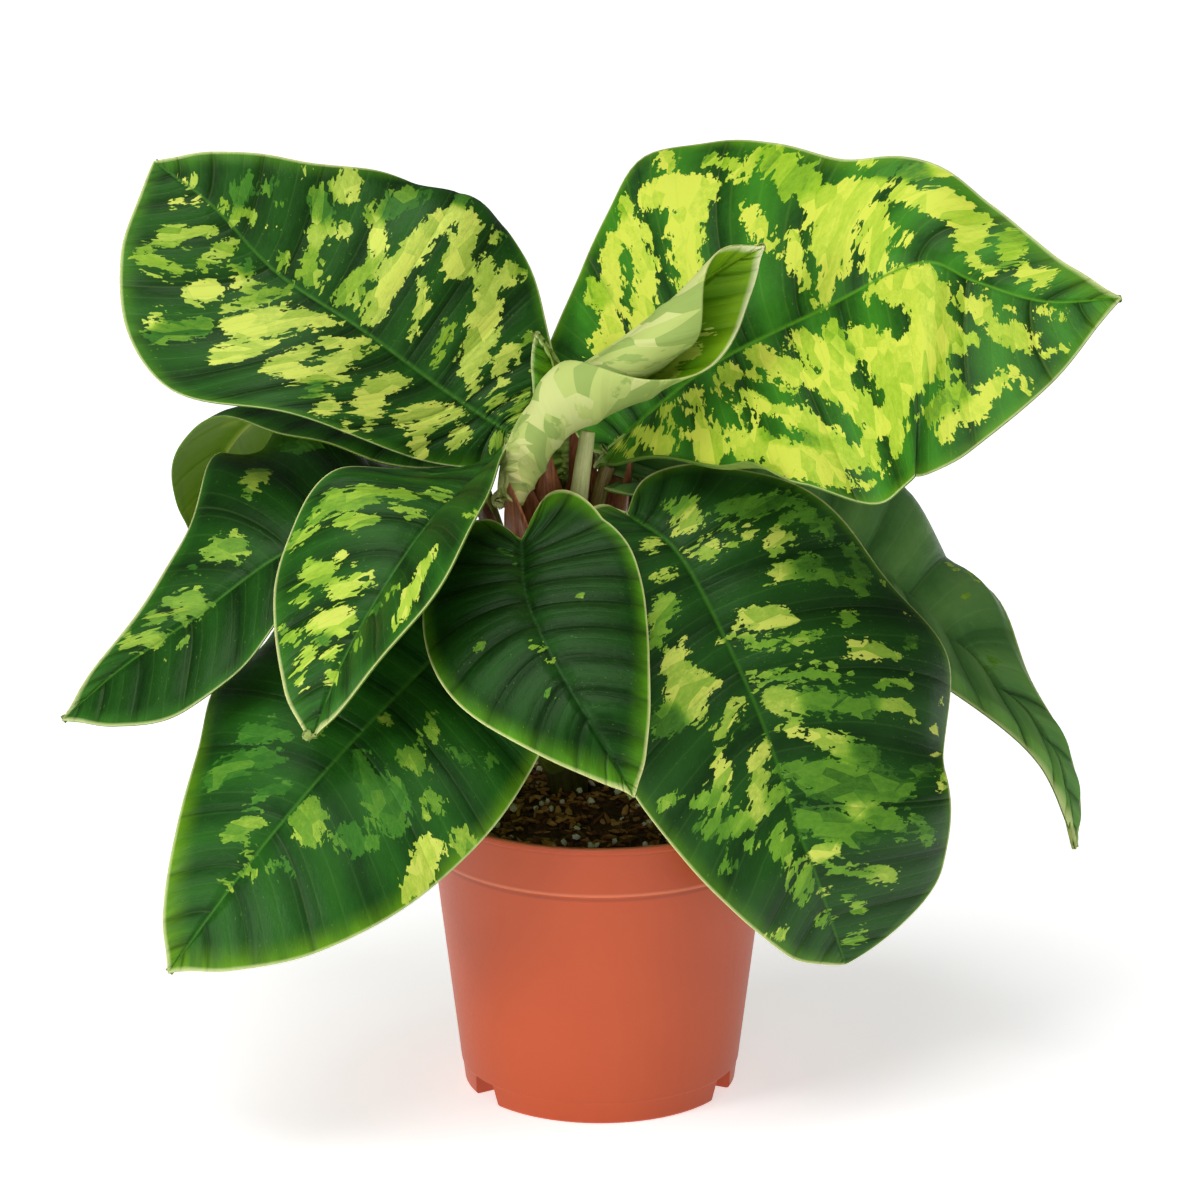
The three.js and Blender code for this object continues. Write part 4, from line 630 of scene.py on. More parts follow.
def lamina(leaf, midrib, share, column):
    """Points of a blade's middle surface."""
    place, across = layout(leaf, share, column)
    sign = np.where(column < 0, -1.0, 1.0)

    def half(read):
        return np.where(column < 0, read(leaf["left"]), read(leaf["right"]))

    point, _, up, side = midrib.frame(place)
    lift = np.radians(half(lambda part: along(part["lift"], place)))
    curl = np.radians(half(lambda part: along(part["curl"], place)))
    onset = half(lambda part: part["onset"])

    def turn(distance):
        return lift + curl * (distance / leaf["half_width"]) ** onset

    out = np.zeros_like(across)
    rise = np.zeros_like(across)
    for i in range(TURN_STEPS):
        angle = turn(across * (i + 0.5) / TURN_STEPS)
        out += np.cos(angle) * across / TURN_STEPS
        rise += np.sin(angle) * across / TURN_STEPS
    height, count, phase = leaf["wave"]
    wave = height * (across / leaf["half_width"]) ** 2
    wave = wave * np.sin(2 * np.pi * (count * place + phase * sign))
    angle = turn(across)
    out -= np.sin(angle) * wave
    rise += np.cos(angle) * wave
    return point + side * (sign * out)[..., None] + up * rise[..., None]


# Making pieces

def deselect():
    """Leaves edit mode and selects nothing."""
    if bpy.context.object and bpy.context.object.mode != "OBJECT":
        bpy.ops.object.mode_set(mode="OBJECT")
    bpy.ops.object.select_all(action="DESELECT")


def pick(piece):
    """Selects one piece alone and makes it the active one."""
    deselect()
    piece.select_set(True)
    bpy.context.view_layer.objects.active = piece


def grid(name, columns, rows):
    """A flat grid as an object, with its points' shares across and along."""
    deselect()
    bpy.ops.mesh.primitive_grid_add(x_subdivisions=columns, y_subdivisions=rows, size=2)
    piece = bpy.context.object
    piece.name = piece.data.name = name
    flat = np.empty(len(piece.data.vertices) * 3)
    piece.data.vertices.foreach_get("co", flat)
    flat = flat.reshape(-1, 3)
    shape = (rows + 1, columns + 1)
    return piece, (flat[:, 0].reshape(shape) + 1) / 2, (flat[:, 1].reshape(shape) + 1) / 2


def lay(piece, points, uvs):
    """Moves the points of a piece, in millimetres, and gives it the map 'lay' in millimetres."""
    mesh = piece.data
    mesh.vertices.foreach_set("co", (np.asarray(points) * MM).ravel())
    corners = np.empty(len(mesh.loops), int)
    mesh.loops.foreach_get("vertex_index", corners)
    mesh.uv_layers.active.name = "lay"
    mesh.uv_layers["lay"].data.foreach_set("uv", np.asarray(uvs).reshape(-1, 2)[corners].ravel())
    mesh.update()


def attribute(piece, name, values):
    """Gives each point of a piece a number for its material."""
    layer = piece.data.attributes.new(name, "FLOAT", "POINT")
    layer.data.foreach_set("value", np.asarray(values, float).ravel())


def join_doubles(piece, outwards=True):
    """Joins points that fall together and, if asked, turns the faces outwards."""
    pick(piece)
    bpy.ops.object.mode_set(mode="EDIT")
    bpy.ops.mesh.select_all(action="SELECT")
    bpy.ops.mesh.remove_doubles(threshold=1e-5)
    if outwards:
        bpy.ops.mesh.normals_make_consistent(inside=False)
    bpy.ops.object.mode_set(mode="OBJECT")


def flip(piece):
    """Turns a piece's faces the other way."""
    pick(piece)
    bpy.ops.object.mode_set(mode="EDIT")
    bpy.ops.mesh.select_all(action="SELECT")
    bpy.ops.mesh.flip_normals()
    bpy.ops.object.mode_set(mode="OBJECT")


def soften(piece, angle=180):
    """Shades a piece smooth, but for edges sharper than an angle."""
    pick(piece)
    if angle < 180:
        bpy.ops.object.shade_smooth_by_angle(angle=math.radians(angle))
    else:
        bpy.ops.object.shade_smooth()


def apply(piece, kind, **settings):
    """Adds a modifier and applies it."""
    pick(piece)
    modifier = piece.modifiers.new(kind.title(), kind)
    for key, value in settings.items():
        setattr(modifier, key, value)
    bpy.ops.object.modifier_apply(modifier=modifier.name)


def place_piece(piece, node):
    """Lets a piece ride on the root and stand for its CAD node."""
    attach(piece, "root")
    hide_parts(node)


def tube(name, middles, rings, around, columns):
    """A closed tube: middles along it, and for each a ring of two half-axis vectors."""
    rows = len(middles) - 1
    piece, u, _ = grid(name, columns, rows)
    angle = 2 * np.pi * u
    first, second = (np.asarray(ring)[:, None, :] for ring in rings)
    points = first * np.cos(angle)[..., None] + second * np.sin(angle)[..., None]
    points = points + np.asarray(middles)[:, None, :]
    strides = np.linalg.norm(np.diff(middles, axis=0), axis=1)
    reached = np.concatenate([[0], np.cumsum(strides)])
    uvs = np.stack([u * around, np.broadcast_to(reached[:, None], u.shape)], -1)
    lay(piece, points, uvs)
    join_doubles(piece)
    soften(piece, 50)
    return piece


# Shader maths

class Signal:
    """An output of a shader node that can be reckoned with."""

    def __init__(self, tree, socket):
        self.tree = tree
        self.socket = socket

    def node(self, kind, settings=None, inputs=None, output=0):
        """Adds a node: its settings first, then its socket values, and gives one output."""
        made = self.tree.nodes.new(kind)
        for key, value in (settings or {}).items():
            setattr(made, key, value)
        for key, value in (inputs or {}).items():
            if isinstance(value, Signal):
                self.tree.links.new(value.socket, made.inputs[key])
            else:
                made.inputs[key].default_value = value
        return Signal(self.tree, made.outputs[output] if made.outputs else None)

    def reckon(self, operation, *values, clamp=False):
        """One step of arithmetic on values."""
        settings = {"operation": operation, "use_clamp": clamp}
        return self.node("ShaderNodeMath", settings, dict(enumerate(values)))

    def __add__(self, other):
        return self.reckon("ADD", self, other)

    def __sub__(self, other):
        return self.reckon("SUBTRACT", self, other)

    def __rsub__(self, other):
        return self.reckon("SUBTRACT", other, self)

    def __mul__(self, other):
        return self.reckon("MULTIPLY", self, other)

    def __truediv__(self, other):
        return self.reckon("DIVIDE", self, other)

    def __pow__(self, other):
        return self.reckon("POWER", self, other)

    __radd__ = __add__
    __rmul__ = __mul__

    def clip(self):
        """The signal held between 0 and 1."""
        return self.reckon("ADD", self, 0.0, clamp=True)

    def above(self, level, width):
        """0 below a level and 1 above it, with a soft edge of the given width."""
        return self.reckon("ADD", (self - level) / width, 0.5, clamp=True)

    def mix(self, first, second):
        """A colour mix by this signal."""
        settings = {"data_type": "RGBA", "clamp_factor": True}
        inputs = {0: self, 6: colour(first), 7: colour(second)}
        return self.node("ShaderNodeMix", settings, inputs, 2)


def colour(value):
    """A colour for a socket: from a hex code or three shares, or a signal as it is."""
    if isinstance(value, Signal):
        return value
    return (*(srgb(value) if isinstance(value, str) else value), 1.0)


class Coat:
    """A new material with its one surface shader."""

    def __init__(self, name, **constants):
        self.material = bpy.data.materials.new(name)
        self.material.use_nodes = True
        tree = self.material.node_tree
        self.start = Signal(tree, None)
        self.surface = tree.nodes["Principled BSDF"]
        for key, value in constants.items():
            self.surface.inputs[key.replace("_", " ")].default_value = value

    def feed(self, key, signal):
        """Links a signal to a socket of the surface shader."""
        self.start.tree.links.new(signal.socket, self.surface.inputs[key])

    def value(self, name):
        """A number that the piece's points hold."""
        return self.start.node("ShaderNodeAttribute", {"attribute_name": name}, {}, "Fac")

    def lay(self, across=1.0, along_it=1.0):
        """The piece's own map in millimetres, scaled."""
        uv = self.start.node("ShaderNodeUVMap", {"uv_map": "lay"})
        return self.start.node("ShaderNodeMapping", {}, {"Vector": uv, "Scale": (across, along_it, 1)})

    def spot(self, scale=1000.0):
        """Object coordinates, in millimetres unless scaled otherwise."""
        where = self.start.node("ShaderNodeTexCoord", {}, {}, "Object")
        return self.start.node("ShaderNodeMapping", {}, {"Vector": where, "Scale": (scale,) * 3})

    def noise(self, vector, scale=1.0, detail=2.0, roughness=0.5):
        """Clouds about 0.5."""
        inputs = {"Vector": vector, "Scale": scale, "Detail": detail, "Roughness": roughness}
        return self.start.node("ShaderNodeTexNoise", {}, inputs, "Fac")

    def cells(self, vector, scale=1.0):
        """Cells of even random colours."""
        inputs = {"Vector": vector, "Scale": scale}
        return self.start.node("ShaderNodeTexVoronoi", {"feature": "F1"}, inputs, "Color")

    def one(self, cells, channel="Red"):
        """One channel of a colour."""
        return self.start.node("ShaderNodeSeparateColor", {}, {"Color": cells}, channel)

    def ramp(self, signal, stops):
        """A colour ramp from (place, hex code) pairs."""
        made = self.start.node("ShaderNodeValToRGB", {}, {"Fac": signal}, "Color")
        elements = made.socket.node.color_ramp.elements
        elements[0].position, elements[0].color = stops[0][0], colour(stops[0][1])
        elements[1].position, elements[1].color = stops[-1][0], colour(stops[-1][1])
        for place, code in stops[1:-1]:
            elements.new(place).color = colour(code)
        return made

    def bump(self, height, strength, distance):
        """A normal from a height."""
        inputs = {"Height": height, "Strength": strength, "Distance": distance}
        return self.start.node("ShaderNodeBump", {}, inputs, "Normal")


# Blades

def patch_field(leaf, midrib, strokes, place, across):
    """The distance in millimetres inside the nearest patch, and that patch's tone."""
    inside = np.full(place.shape, -PATCH_REACH)
    dark = np.full(place.shape, -PATCH_REACH)
    weight = np.full(place.shape, 1e-9)
    tone = 0.7 * weight
    x, y = place * midrib.length, across
    for shade, *stations in strokes:
        stations = np.array(stations, float)
        if len(stations) > 1:
            spans = len(stations) - 1
            steps = np.linspace(0, spans, STROKE_STEPS * spans + 1)
            stations = np.stack([np.interp(steps, range(spans + 1), part) for part in stations.T], 1)
        spots, sides = layout(leaf, stations[:, 0] / 100, stations[:, 1] / 100)
        spots = spots * midrib.length
        sides = sides * np.sign(stations[:, 1])
        widths = stations[:, 2]
        if len(stations) == 1:
            spots, sides, widths = (np.repeat(part, 2) for part in (spots, sides, widths))
            sides = sides + np.array([-0.5, 0.5]) * widths[0]
        margin = widths.max() + PATCH_REACH
        near = (x > spots.min() - margin) & (x < spots.max() + margin)
        near &= (y > sides.min() - margin) & (y < sides.max() + margin)
        px, py = x[near], y[near]
        best = np.full(px.shape, -PATCH_REACH)
        for i in range(len(spots) - 1):
            dx, dy = spots[i + 1] - spots[i], sides[i + 1] - sides[i]
            t = ((px - spots[i]) * dx + (py - sides[i]) * dy) / max(dx * dx + dy * dy, 1e-9)
            t = np.clip(t, 0, 1)
            away = np.hypot(px - spots[i] - t * dx, py - sides[i] - t * dy)
            best = np.maximum(best, widths[i] + t * (widths[i + 1] - widths[i]) - away)
        if shade < 0:
            dark[near] = np.maximum(dark[near], best)
        else:
            inside[near] = np.maximum(inside[near], best)
            say = np.exp(best / PATCH_BLEND)
            weight[near] += say
            tone[near] += say * shade
    return np.clip(np.minimum(inside, -dark), -PATCH_REACH, PATCH_REACH), tone / weight


def vein_gap(share, column, leaf):
    """How far a place is from the nearest main side vein, as a share of their spacing."""
    place = leaf.get("veins", MAIN_VEINS) * share + np.where(column < 0, 0.0, VEIN_STAGGER)
    return np.abs(place - np.round(place))


def draw_out(points, share, column, pulls):
    """Draws the surface near a place by a vector: (share, column, reach in each, vector)."""
    for at, side, long, wide, vector in pulls:
        near = np.exp(-(((share - at) / long) ** 2) - ((column - side) / wide) ** 2)
        points = points + near[..., None] * np.array(vector, float)
    return points


def taper(points, share, start, until):
    """Draws the foot of a rolled blade in to a share of its girth."""
    middles = points.mean(1, keepdims=True)
    scale = start + (1 - start) * smooth(share, 0, until)
    return middles + (points - middles) * scale[..., None]


def roll(points, share, column, normals, rolls):
    """Rolls a band of the margin over towards one face: (from, to, side, width, turn)."""
    for start, end, side, width, turn in rolls:
        band = smooth(share, start, start + 0.04) * (1 - smooth(share, end - 0.04, end))
        inner = 1 - width
        hinge = np.array([
            [np.interp(inner, side * row, points[i, :, k]) if side > 0 else
             np.interp(inner, (side * row)[::-1], points[i, ::-1, k]) for k in range(3)]
            for i, row in enumerate(column)])[:, None, :]
        past = np.clip((column * side - inner) / width, 0, 1)
        reach = np.linalg.norm(points - hinge, axis=-1) * (past > 0)
        outwards = points - hinge
        outwards = outwards / np.maximum(np.linalg.norm(outwards, axis=-1, keepdims=True), 1e-9)
        angle = np.radians(turn) * band * past
        curled = hinge + outwards * (reach * np.sinc(angle / np.pi))[..., None]
        turned_by = np.where(np.abs(angle) > 1e-4, angle, 1e-4)
        rise = (1 - np.cos(turned_by)) / turned_by
        curled = curled + normals * (reach * rise)[..., None]
        use = ((past > 0) & (band > 0))[..., None]
        points = np.where(use, curled, points)
    return points


def relief(column, share, leaf, sizes):
    """How far the upper side stands off the lamina: swollen between its side veins."""
    out = np.abs(column)
    swell = np.abs(np.sin(np.pi * vein_gap(share, column, leaf))) ** 0.55
    fade = smooth(out, 0.02, 0.2) * (1 - smooth(out, 0.8, 1.0))
    fade = fade * np.sin(np.pi * np.clip(share, 0, 1)) ** 0.5
    return swell * fade * leaf.get("quilt", 1.0) * sizes.quilt / MM


def face_normals(points, up):
    """The way that the upper side looks at each point of a blade's grid."""
    normals = np.cross(np.gradient(points, axis=1), np.gradient(points, axis=0))
    normals[0], normals[-1] = normals[1], normals[-2]
    normals = unit(normals + 1e-12)
    middle = points.shape[1] // 2
    return normals if (normals[:, middle] * up[:, middle]).sum() > 0 else -normals


# What some blades do beyond their CAD form: margins drawn out or rolled over, and a foot
# drawn in.
SHAPING = {
    "young": {"pulls": [(0.37, 1, 0.06, 0.3, (-6, -1, 5))], "taper": (0.22, 0.3)},
    "upper_left": {"pulls": [(0.2, -1, 0.09, 0.2, (0, 0, -3))]},
    "mid_left": {"pulls": [(0.25, 1, 0.08, 0.2, (0, 0, 3.5)), (0.985, 0, 0.012, 2, (-3, 0, 1))]},
    "upper_right": {"rolls": [(0.16, 0.46, 1, 0.16, 120)]},
}


def build_blade(name, sizes, materials):
    """One blade: its lamina by formula, thickened away from the upper side."""
    leaf = LEAVES[name]
    midrib = Midrib(leaf)
    slim = 1
    columns, rows = int(sizes.columns * slim / 2) * 2, int(sizes.rows * slim)
    piece, u, v = grid(f"blade_{name}", columns, rows)

    # Rows draw together at the base and tip, and columns at the midrib and margins.
    share = crowd(v)
    column = np.sign(2 * u - 1) * crowd(np.abs(2 * u - 1))
    place, across = layout(leaf, share, column)
    shape = SHAPING.get(name, {})
    points = taper(lamina(leaf, midrib, share, column), share, *shape.get("taper", (1, 1)))
    points = draw_out(points, share, column, shape.get("pulls", ()))
    _, _, up, _ = midrib.frame(place)
    points = roll(points, share, column, face_normals(points, up), shape.get("rolls", ()))
    normals = face_normals(points, up)

    # The midrib's half width in millimetres, and how it sinks into the upper side.
    girth = 1.5 * (1 - 0.75 * share) + 0.35
    groove = np.exp(-((across / girth) ** 2)) * (1 - 0.8 * share)
    groove *= smooth(share, 0, 0.05)
    rise = relief(column, share, leaf, sizes) - groove * sizes.groove / MM
    points = points + normals * rise[..., None]
    lay(piece, points, np.stack([share * midrib.length, across * np.sign(column)], -1))

    # What the materials read: millimetres from the margin, from the midrib and so on.
    attribute(piece, "edge", layout(leaf, share, np.sign(column + 1e-9))[1] - across)
    attribute(piece, "rib", across / girth)
    attribute(piece, "share", share)
    spacing = midrib.length / leaf.get("veins", MAIN_VEINS)
    attribute(piece, "vein", vein_gap(share, column, leaf) * spacing)
    inside, tone = patch_field(leaf, midrib, PATCHES[name], place, across * np.sign(column))
    attribute(piece, "patch", inside)
    attribute(piece, "tone", tone)

    # The thickness, as a share of the ridge's: thin, but for the midrib and low side ribs.
    group = piece.vertex_groups.new(name="thick")
    thin = sizes.lamina / sizes.ridge
    keel = np.exp(-((across / (girth * 1.25)) ** 2)) * (1 - 0.6 * share)
    beside = np.abs(np.sin(np.pi * vein_gap(share, column, leaf)))
    ribs = 0.13 * np.exp(-((beside / 0.16) ** 2)) * (1 - np.abs(column))
    keel = keel + ribs * smooth(np.abs(column), 0, 0.1)
    for index, weight in enumerate((thin + (1 - thin) * np.clip(keel, 0, 1)).ravel()):
        group.add([index], float(weight), "REPLACE")
    join_doubles(piece, outwards=False)

    # The faces have to look the way that the upper side does.
    looks = np.empty(len(piece.data.polygons) * 3)
    piece.data.polygons.foreach_get("normal", looks)
    if looks.reshape(-1, 3).mean(0) @ normals.reshape(-1, 3).mean(0) < 0:
        flip(piece)
    for material in materials:
        piece.data.materials.append(material)
    apply(piece, "SOLIDIFY", thickness=sizes.ridge, offset=-1, vertex_group="thick", material_offset=1,
          material_offset_rim=1)
    soften(piece)
    place_piece(piece, f"blade_{name}")
    return piece


# Stalks, sheaths and the stem

def bezier(points, share):
    """Places on a Bezier curve with these control points, and its directions there."""
    points = [np.asarray(point, float) for point in points]
    t = np.asarray(share, float)[:, None]

    def at(t):
        level = points
        while len(level) > 1:
            level = [a + (b - a) * t for a, b in zip(level, level[1:])]
        return level[0]

    return at(t), unit(at(np.minimum(t + 1e-3, 1)) - at(np.maximum(t - 1e-3, 0)))


def build_stalk(name, material):
    """A leaf's stalk, clasping the stem at its foot."""
    leaf = LEAVES[name]
    spec = leaf["petiole"]
    place, forward, up, _ = (part[0] for part in Midrib(leaf).frame(np.zeros(1)))
    foot = np.array(spec["from"], float)
    end = np.array(spec["to"], float) if "to" in spec else place - up * 1.9 + forward
    axis = unit(np.subtract(STEM["top"], STEM["foot"]).astype(float))
    inwards = np.subtract(STEM["foot"], foot)
    inwards = unit(inwards - (inwards @ axis) * axis)
    lead = unit(np.array(spec["lean"], float)) * spec["reach"]
    tail = unit(forward + np.array([0, 0, 1.0])) * spec["reach"] * 0.35
    share = np.linspace(0, 1, 61)
    middles, tangents = bezier([foot + inwards * 4, foot + lead, end - tail, end], share)
    across = unit(np.cross(tangents, inwards))
    deep = np.cross(across, tangents)
    girth = spec["radius"] * (1 - 0.35 * share)
    broad = girth * (1 + 0.5 * (1 - share) ** 3)
    tip = np.sqrt(np.clip(1 - np.abs(2 * share - 1) ** 60, 0, 1))
    rings = across * (broad * tip)[:, None], deep * (girth * tip)[:, None]
    piece = tube(f"petiole_{name}", middles, rings, 2 * np.pi * spec["radius"], 28)
    piece.data.materials.append(material)
    place_piece(piece, f"petiole_{name}")


def build_sheath(name, material):
    """A papery sheath: a bowed strip, drawn to a point."""
    spec = SHEATHS[name]
    foot = np.array(spec["from"], float)
    outwards = foot - np.array(STEM["top"], float)
    outwards[2] = 0
    outwards = unit(outwards)
    share = 1 - (1 - np.linspace(0, 1, 71)) ** 1.3
    control = foot + unit(np.array(spec["lean"], float)) * 30
    middles, tangents = bezier([foot - outwards * 3, control, np.array(spec["tip"], float)], share)
    across = unit(np.cross(tangents, outwards))
    half = spec["width"] * spec.get("spread", SHEATH_SPREAD) * (1 - share**4)
    piece, u, _ = grid(f"sheath_{name}", 48, 70)
    angle = 2 * np.pi * u
    bow = -0.25 * half[:, None] * np.cos(angle) ** 2
    folds = 0.12 * half[:, None] * np.sin(5 * np.cos(angle) + 4 * share[:, None]) * np.abs(np.cos(angle))
    thick = 0.75 * (1 - 0.6 * share[:, None]) * np.sin(angle) * np.minimum(1, half[:, None] / 2)
    points = middles[:, None, :] + across[:, None, :] * (half[:, None] * np.cos(angle))[..., None]
    points = points + outwards * (bow + folds + thick)[..., None]
    uvs = np.stack([half[:, None] * np.cos(angle), 70 * np.broadcast_to(share[:, None], angle.shape)], -1)
    points[0] = points[0].mean(0)
    lay(piece, points, uvs)
    join_doubles(piece)
    soften(piece, 60)
    piece.data.materials.append(material)
    place_piece(piece, f"sheath_{name}")


def build_stem(material):
    """The stem, drawn in at each leaf scar."""
    foot, top = np.array(STEM["foot"], float), np.array(STEM["top"], float)
    length = top[2] - foot[2]
    axis = unit(top - foot)
    crown = length + 3.5 * np.sin(np.linspace(0.1, np.pi / 2, 14))
    height = np.concatenate([[0], np.linspace(0, length, 160), crown])
    widening = STEM["top_radius"] - STEM["foot_radius"]
    radius = STEM["foot_radius"] + widening * np.clip(height / length, 0, 1)
    scars = (height - STEM["plain"]) / STEM["scar_spacing"]
    dent = np.exp(-(((scars - np.round(scars)) * STEM["scar_spacing"] / 0.7) ** 2)) * STEM["scar_height"]
    radius = radius - np.where((scars > 0.5) & (height < length - 4), dent, 0)
    cap = np.clip((height - length) / 3.5, 0, 1)
    radius = radius * np.sqrt(1 - cap**2)
    radius[0] = radius[-1] = 0
    side = unit(np.cross(axis, [0, 1.0, 0]))
    middles = foot + axis * height[:, None]
    rings = side * radius[:, None], np.cross(axis, side) * radius[:, None]
    piece = tube("stem", middles, rings, 45, 72)
    piece.data.materials.append(material)
    place_piece(piece, "stem")


# The potting mix

def soil_height(x, y):
    """The height of the mix at a place, in millimetres."""
    mound = np.exp(-((x - SOIL["peak"][0]) ** 2 + (y - SOIL["peak"][1]) ** 2) / SOIL["spread"])
    lumps = np.sin(0.55 * x + 1.3 * np.sin(0.31 * y)) + np.sin(0.62 * y + 1.7 * np.sin(0.27 * x + 1))
    calm = np.where(np.hypot(x, y) > 50, 0.4, 1)
    return SOIL["edge"] + SOIL["mound"] * mound + SOIL["lump"] * lumps * calm


def scatter(count, reach, rng):
    """Places on the mix, clear of the stem."""
    spots = []
    while len(spots) < count:
        x, y = rng.uniform(-reach, reach, 2)
        from_stem = math.hypot(x - SOIL["free"][0], y - SOIL["free"][1])
        if math.hypot(x, y) < reach and from_stem > SOIL["free_radius"]:
            spots.append((x, y))
    return spots


def bits(name, spots, sizes, jitter, sink, material, rng):
    """Small rough lumps strewn on the mix, as one mesh."""
    deselect()
    bpy.ops.mesh.primitive_ico_sphere_add(subdivisions=1, radius=1)
    piece = bpy.context.object
    piece.name = piece.data.name = name
    ball = np.array([tuple(vertex.co) for vertex in piece.data.vertices])
    faces = np.array([tuple(face.vertices) for face in piece.data.polygons])
    points, corners, tints = [], [], []
    for i, (x, y) in enumerate(spots):
        size = np.array([rng.uniform(*span) for span in sizes]) / 2
        lump = ball * (1 + rng.normal(0, jitter, (len(ball), 1))) * size
        turn, tilt, roll = rng.uniform(0, 2 * np.pi), rng.normal(0, 0.3), rng.normal(0, 0.35)
        c, s = np.cos([turn, tilt, roll]), np.sin([turn, tilt, roll])
        lump = lump @ np.array([[1, 0, 0], [0, c[2], s[2]], [0, -s[2], c[2]]])
        lump = lump @ np.array([[c[1], 0, s[1]], [0, 1, 0], [-s[1], 0, c[1]]])
        lump = lump @ np.array([[c[0], s[0], 0], [-s[0], c[0], 0], [0, 0, 1]])
        ground = soil_height(np.array(x), np.array(y))
        points.append(lump + [x, y, ground + size[2] * sink])
        corners.append(faces + i * len(ball))
        tints.append(np.full(len(ball), rng.uniform()))
    mesh = bpy.data.meshes.new(name)
    mesh.from_pydata((np.concatenate(points) * MM).tolist(), [], np.concatenate(corners).tolist())
    piece.data = mesh
    attribute(piece, "tint", np.concatenate(tints))
    mesh.materials.append(material)
    return piece


def build_mix(sizes, coats):
    """The mix as one closed piece, with bark chips, fibres and perlite on it."""
    rng = np.random.default_rng(11)
    wall = POT["wall"] + SOIL["gap"]
    sides = [(r - wall, z + (wall if z < 2 else 0)) for r, z in POT["outline"] if z < SOIL["edge"] - 6]
    edge = SOIL["collar"] - wall - SOIL["clear"]
    top_rings = [(edge * (1 - i / SOIL["rings"]), 0) for i in range(SOIL["rings"] + 1)]
    rings = np.array([(0, wall)] + sides + top_rings)
    piece, u, _ = grid("soil", 180, len(rings) - 1)
    angle = 2 * np.pi * u
    radius = rings[:, :1] * np.ones_like(u)
    x, y = radius * np.cos(angle), radius * np.sin(angle)
    z = np.broadcast_to(rings[:, 1:], u.shape).copy()
    top = slice(1 + len(sides), None)
    z[top] = soil_height(x[top], y[top]) - 0.2
    fine = np.sin(1.9 * x + 1.7 * np.sin(1.3 * y)) * np.sin(1.6 * y + 1.4 * np.sin(1.7 * x))
    z[top] += 0.35 * fine[top] * np.clip((edge - radius[top]) / 4, 0, 1)
    lay(piece, np.stack([x, y, z], -1), np.stack([x, y], -1))
    join_doubles(piece)
    deselect()
    bpy.ops.mesh.primitive_cylinder_add(vertices=64, radius=SOIL["hole_radius"] * MM,
                                        depth=SOIL["hole_depth"] * MM)
    hole = bpy.context.object
    hole.location = Vector(SOIL["hole"]) * MM
    cut(piece, hole)
    for middle in POT["notches"]:
        cut(piece, wedge(middle, wall))
    piece.data.materials.append(coats["mix"])
    soften(piece, 60)
    place_piece(piece, "soil")
    slim = 1
    spots = scatter(int(sizes.chips * slim), 55.5, rng)
    chips = bits("bark_chips", spots, CHIP_SIZES, 0.16, 0.5, coats["bark"], rng)
    spots = scatter(int(sizes.fibres * slim), 55, rng)
    fibres = bits("fibres", spots, FIBRE_SIZES, 0.05, 2.2, coats["fibre"], rng)
    spots = GRAINS + scatter(sizes.grains, 54, rng)
    grains = bits("perlite", spots, GRAIN_SIZES, 0.12, 1.1, coats["perlite"], rng)
    soften(grains, 40)
    for extra in (chips, fibres, grains):
        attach(extra, "root")


# The pot

def cut(piece, cutter):
    """Cuts one closed piece out of another."""
    apply(piece, "BOOLEAN", operation="DIFFERENCE", solver="EXACT", object=cutter)
    bpy.data.objects.remove(cutter)


def wedge(middle, grow):
    """The wedge of air under the pot's edge at one notch."""
    deselect()
    bpy.ops.mesh.primitive_cube_add(size=2)
    piece = bpy.context.object
    notch = POT["notch"]
    for vertex in piece.data.vertices:
        x, y, z = vertex.co
        half = notch["top" if z > 0 else "foot"] + grow
        inner = notch["inner"] if z > 0 else notch["inner_foot"] + grow
        height = notch["height"] + grow if z > 0 else notch["below"]
        vertex.co = Vector((x * half, notch["outer"] if y < 0 else inner, height)) * MM
    piece.rotation_euler[2] = math.radians(middle)
    return piece


def rounded(outline, reach=0.35):
    """An outline whose inner corners are drawn as short curves."""
    points = [np.array(point, float) for point in outline]
    made = [points[0]]
    for before, corner, after in zip(points, points[1:], points[2:]):
        start = corner + unit(before - corner) * min(reach, np.linalg.norm(before - corner) * 0.45)
        end = corner + unit(after - corner) * min(reach, np.linalg.norm(after - corner) * 0.45)
        for t in np.linspace(0, 1, 6):
            made.append((1 - t) ** 2 * start + 2 * t * (1 - t) * corner + t * t * end)
    return [tuple(point) for point in made + [points[-1]]]


def turned(name, rings, sides=192):
    """A closed solid of revolution from its (radius, height) rings."""
    piece, u, _ = grid(name, sides, len(rings) - 1)
    angle = 2 * np.pi * u
    radius = np.array([r for r, _ in rings], float)[:, None] * np.ones_like(u)
    height = np.array([z for _, z in rings], float)[:, None] * np.ones_like(u)
    points = np.stack([radius * np.cos(angle), radius * np.sin(angle), height], -1)
    lay(piece, points, np.stack([60 * angle, height], -1))
    join_doubles(piece)
    return piece


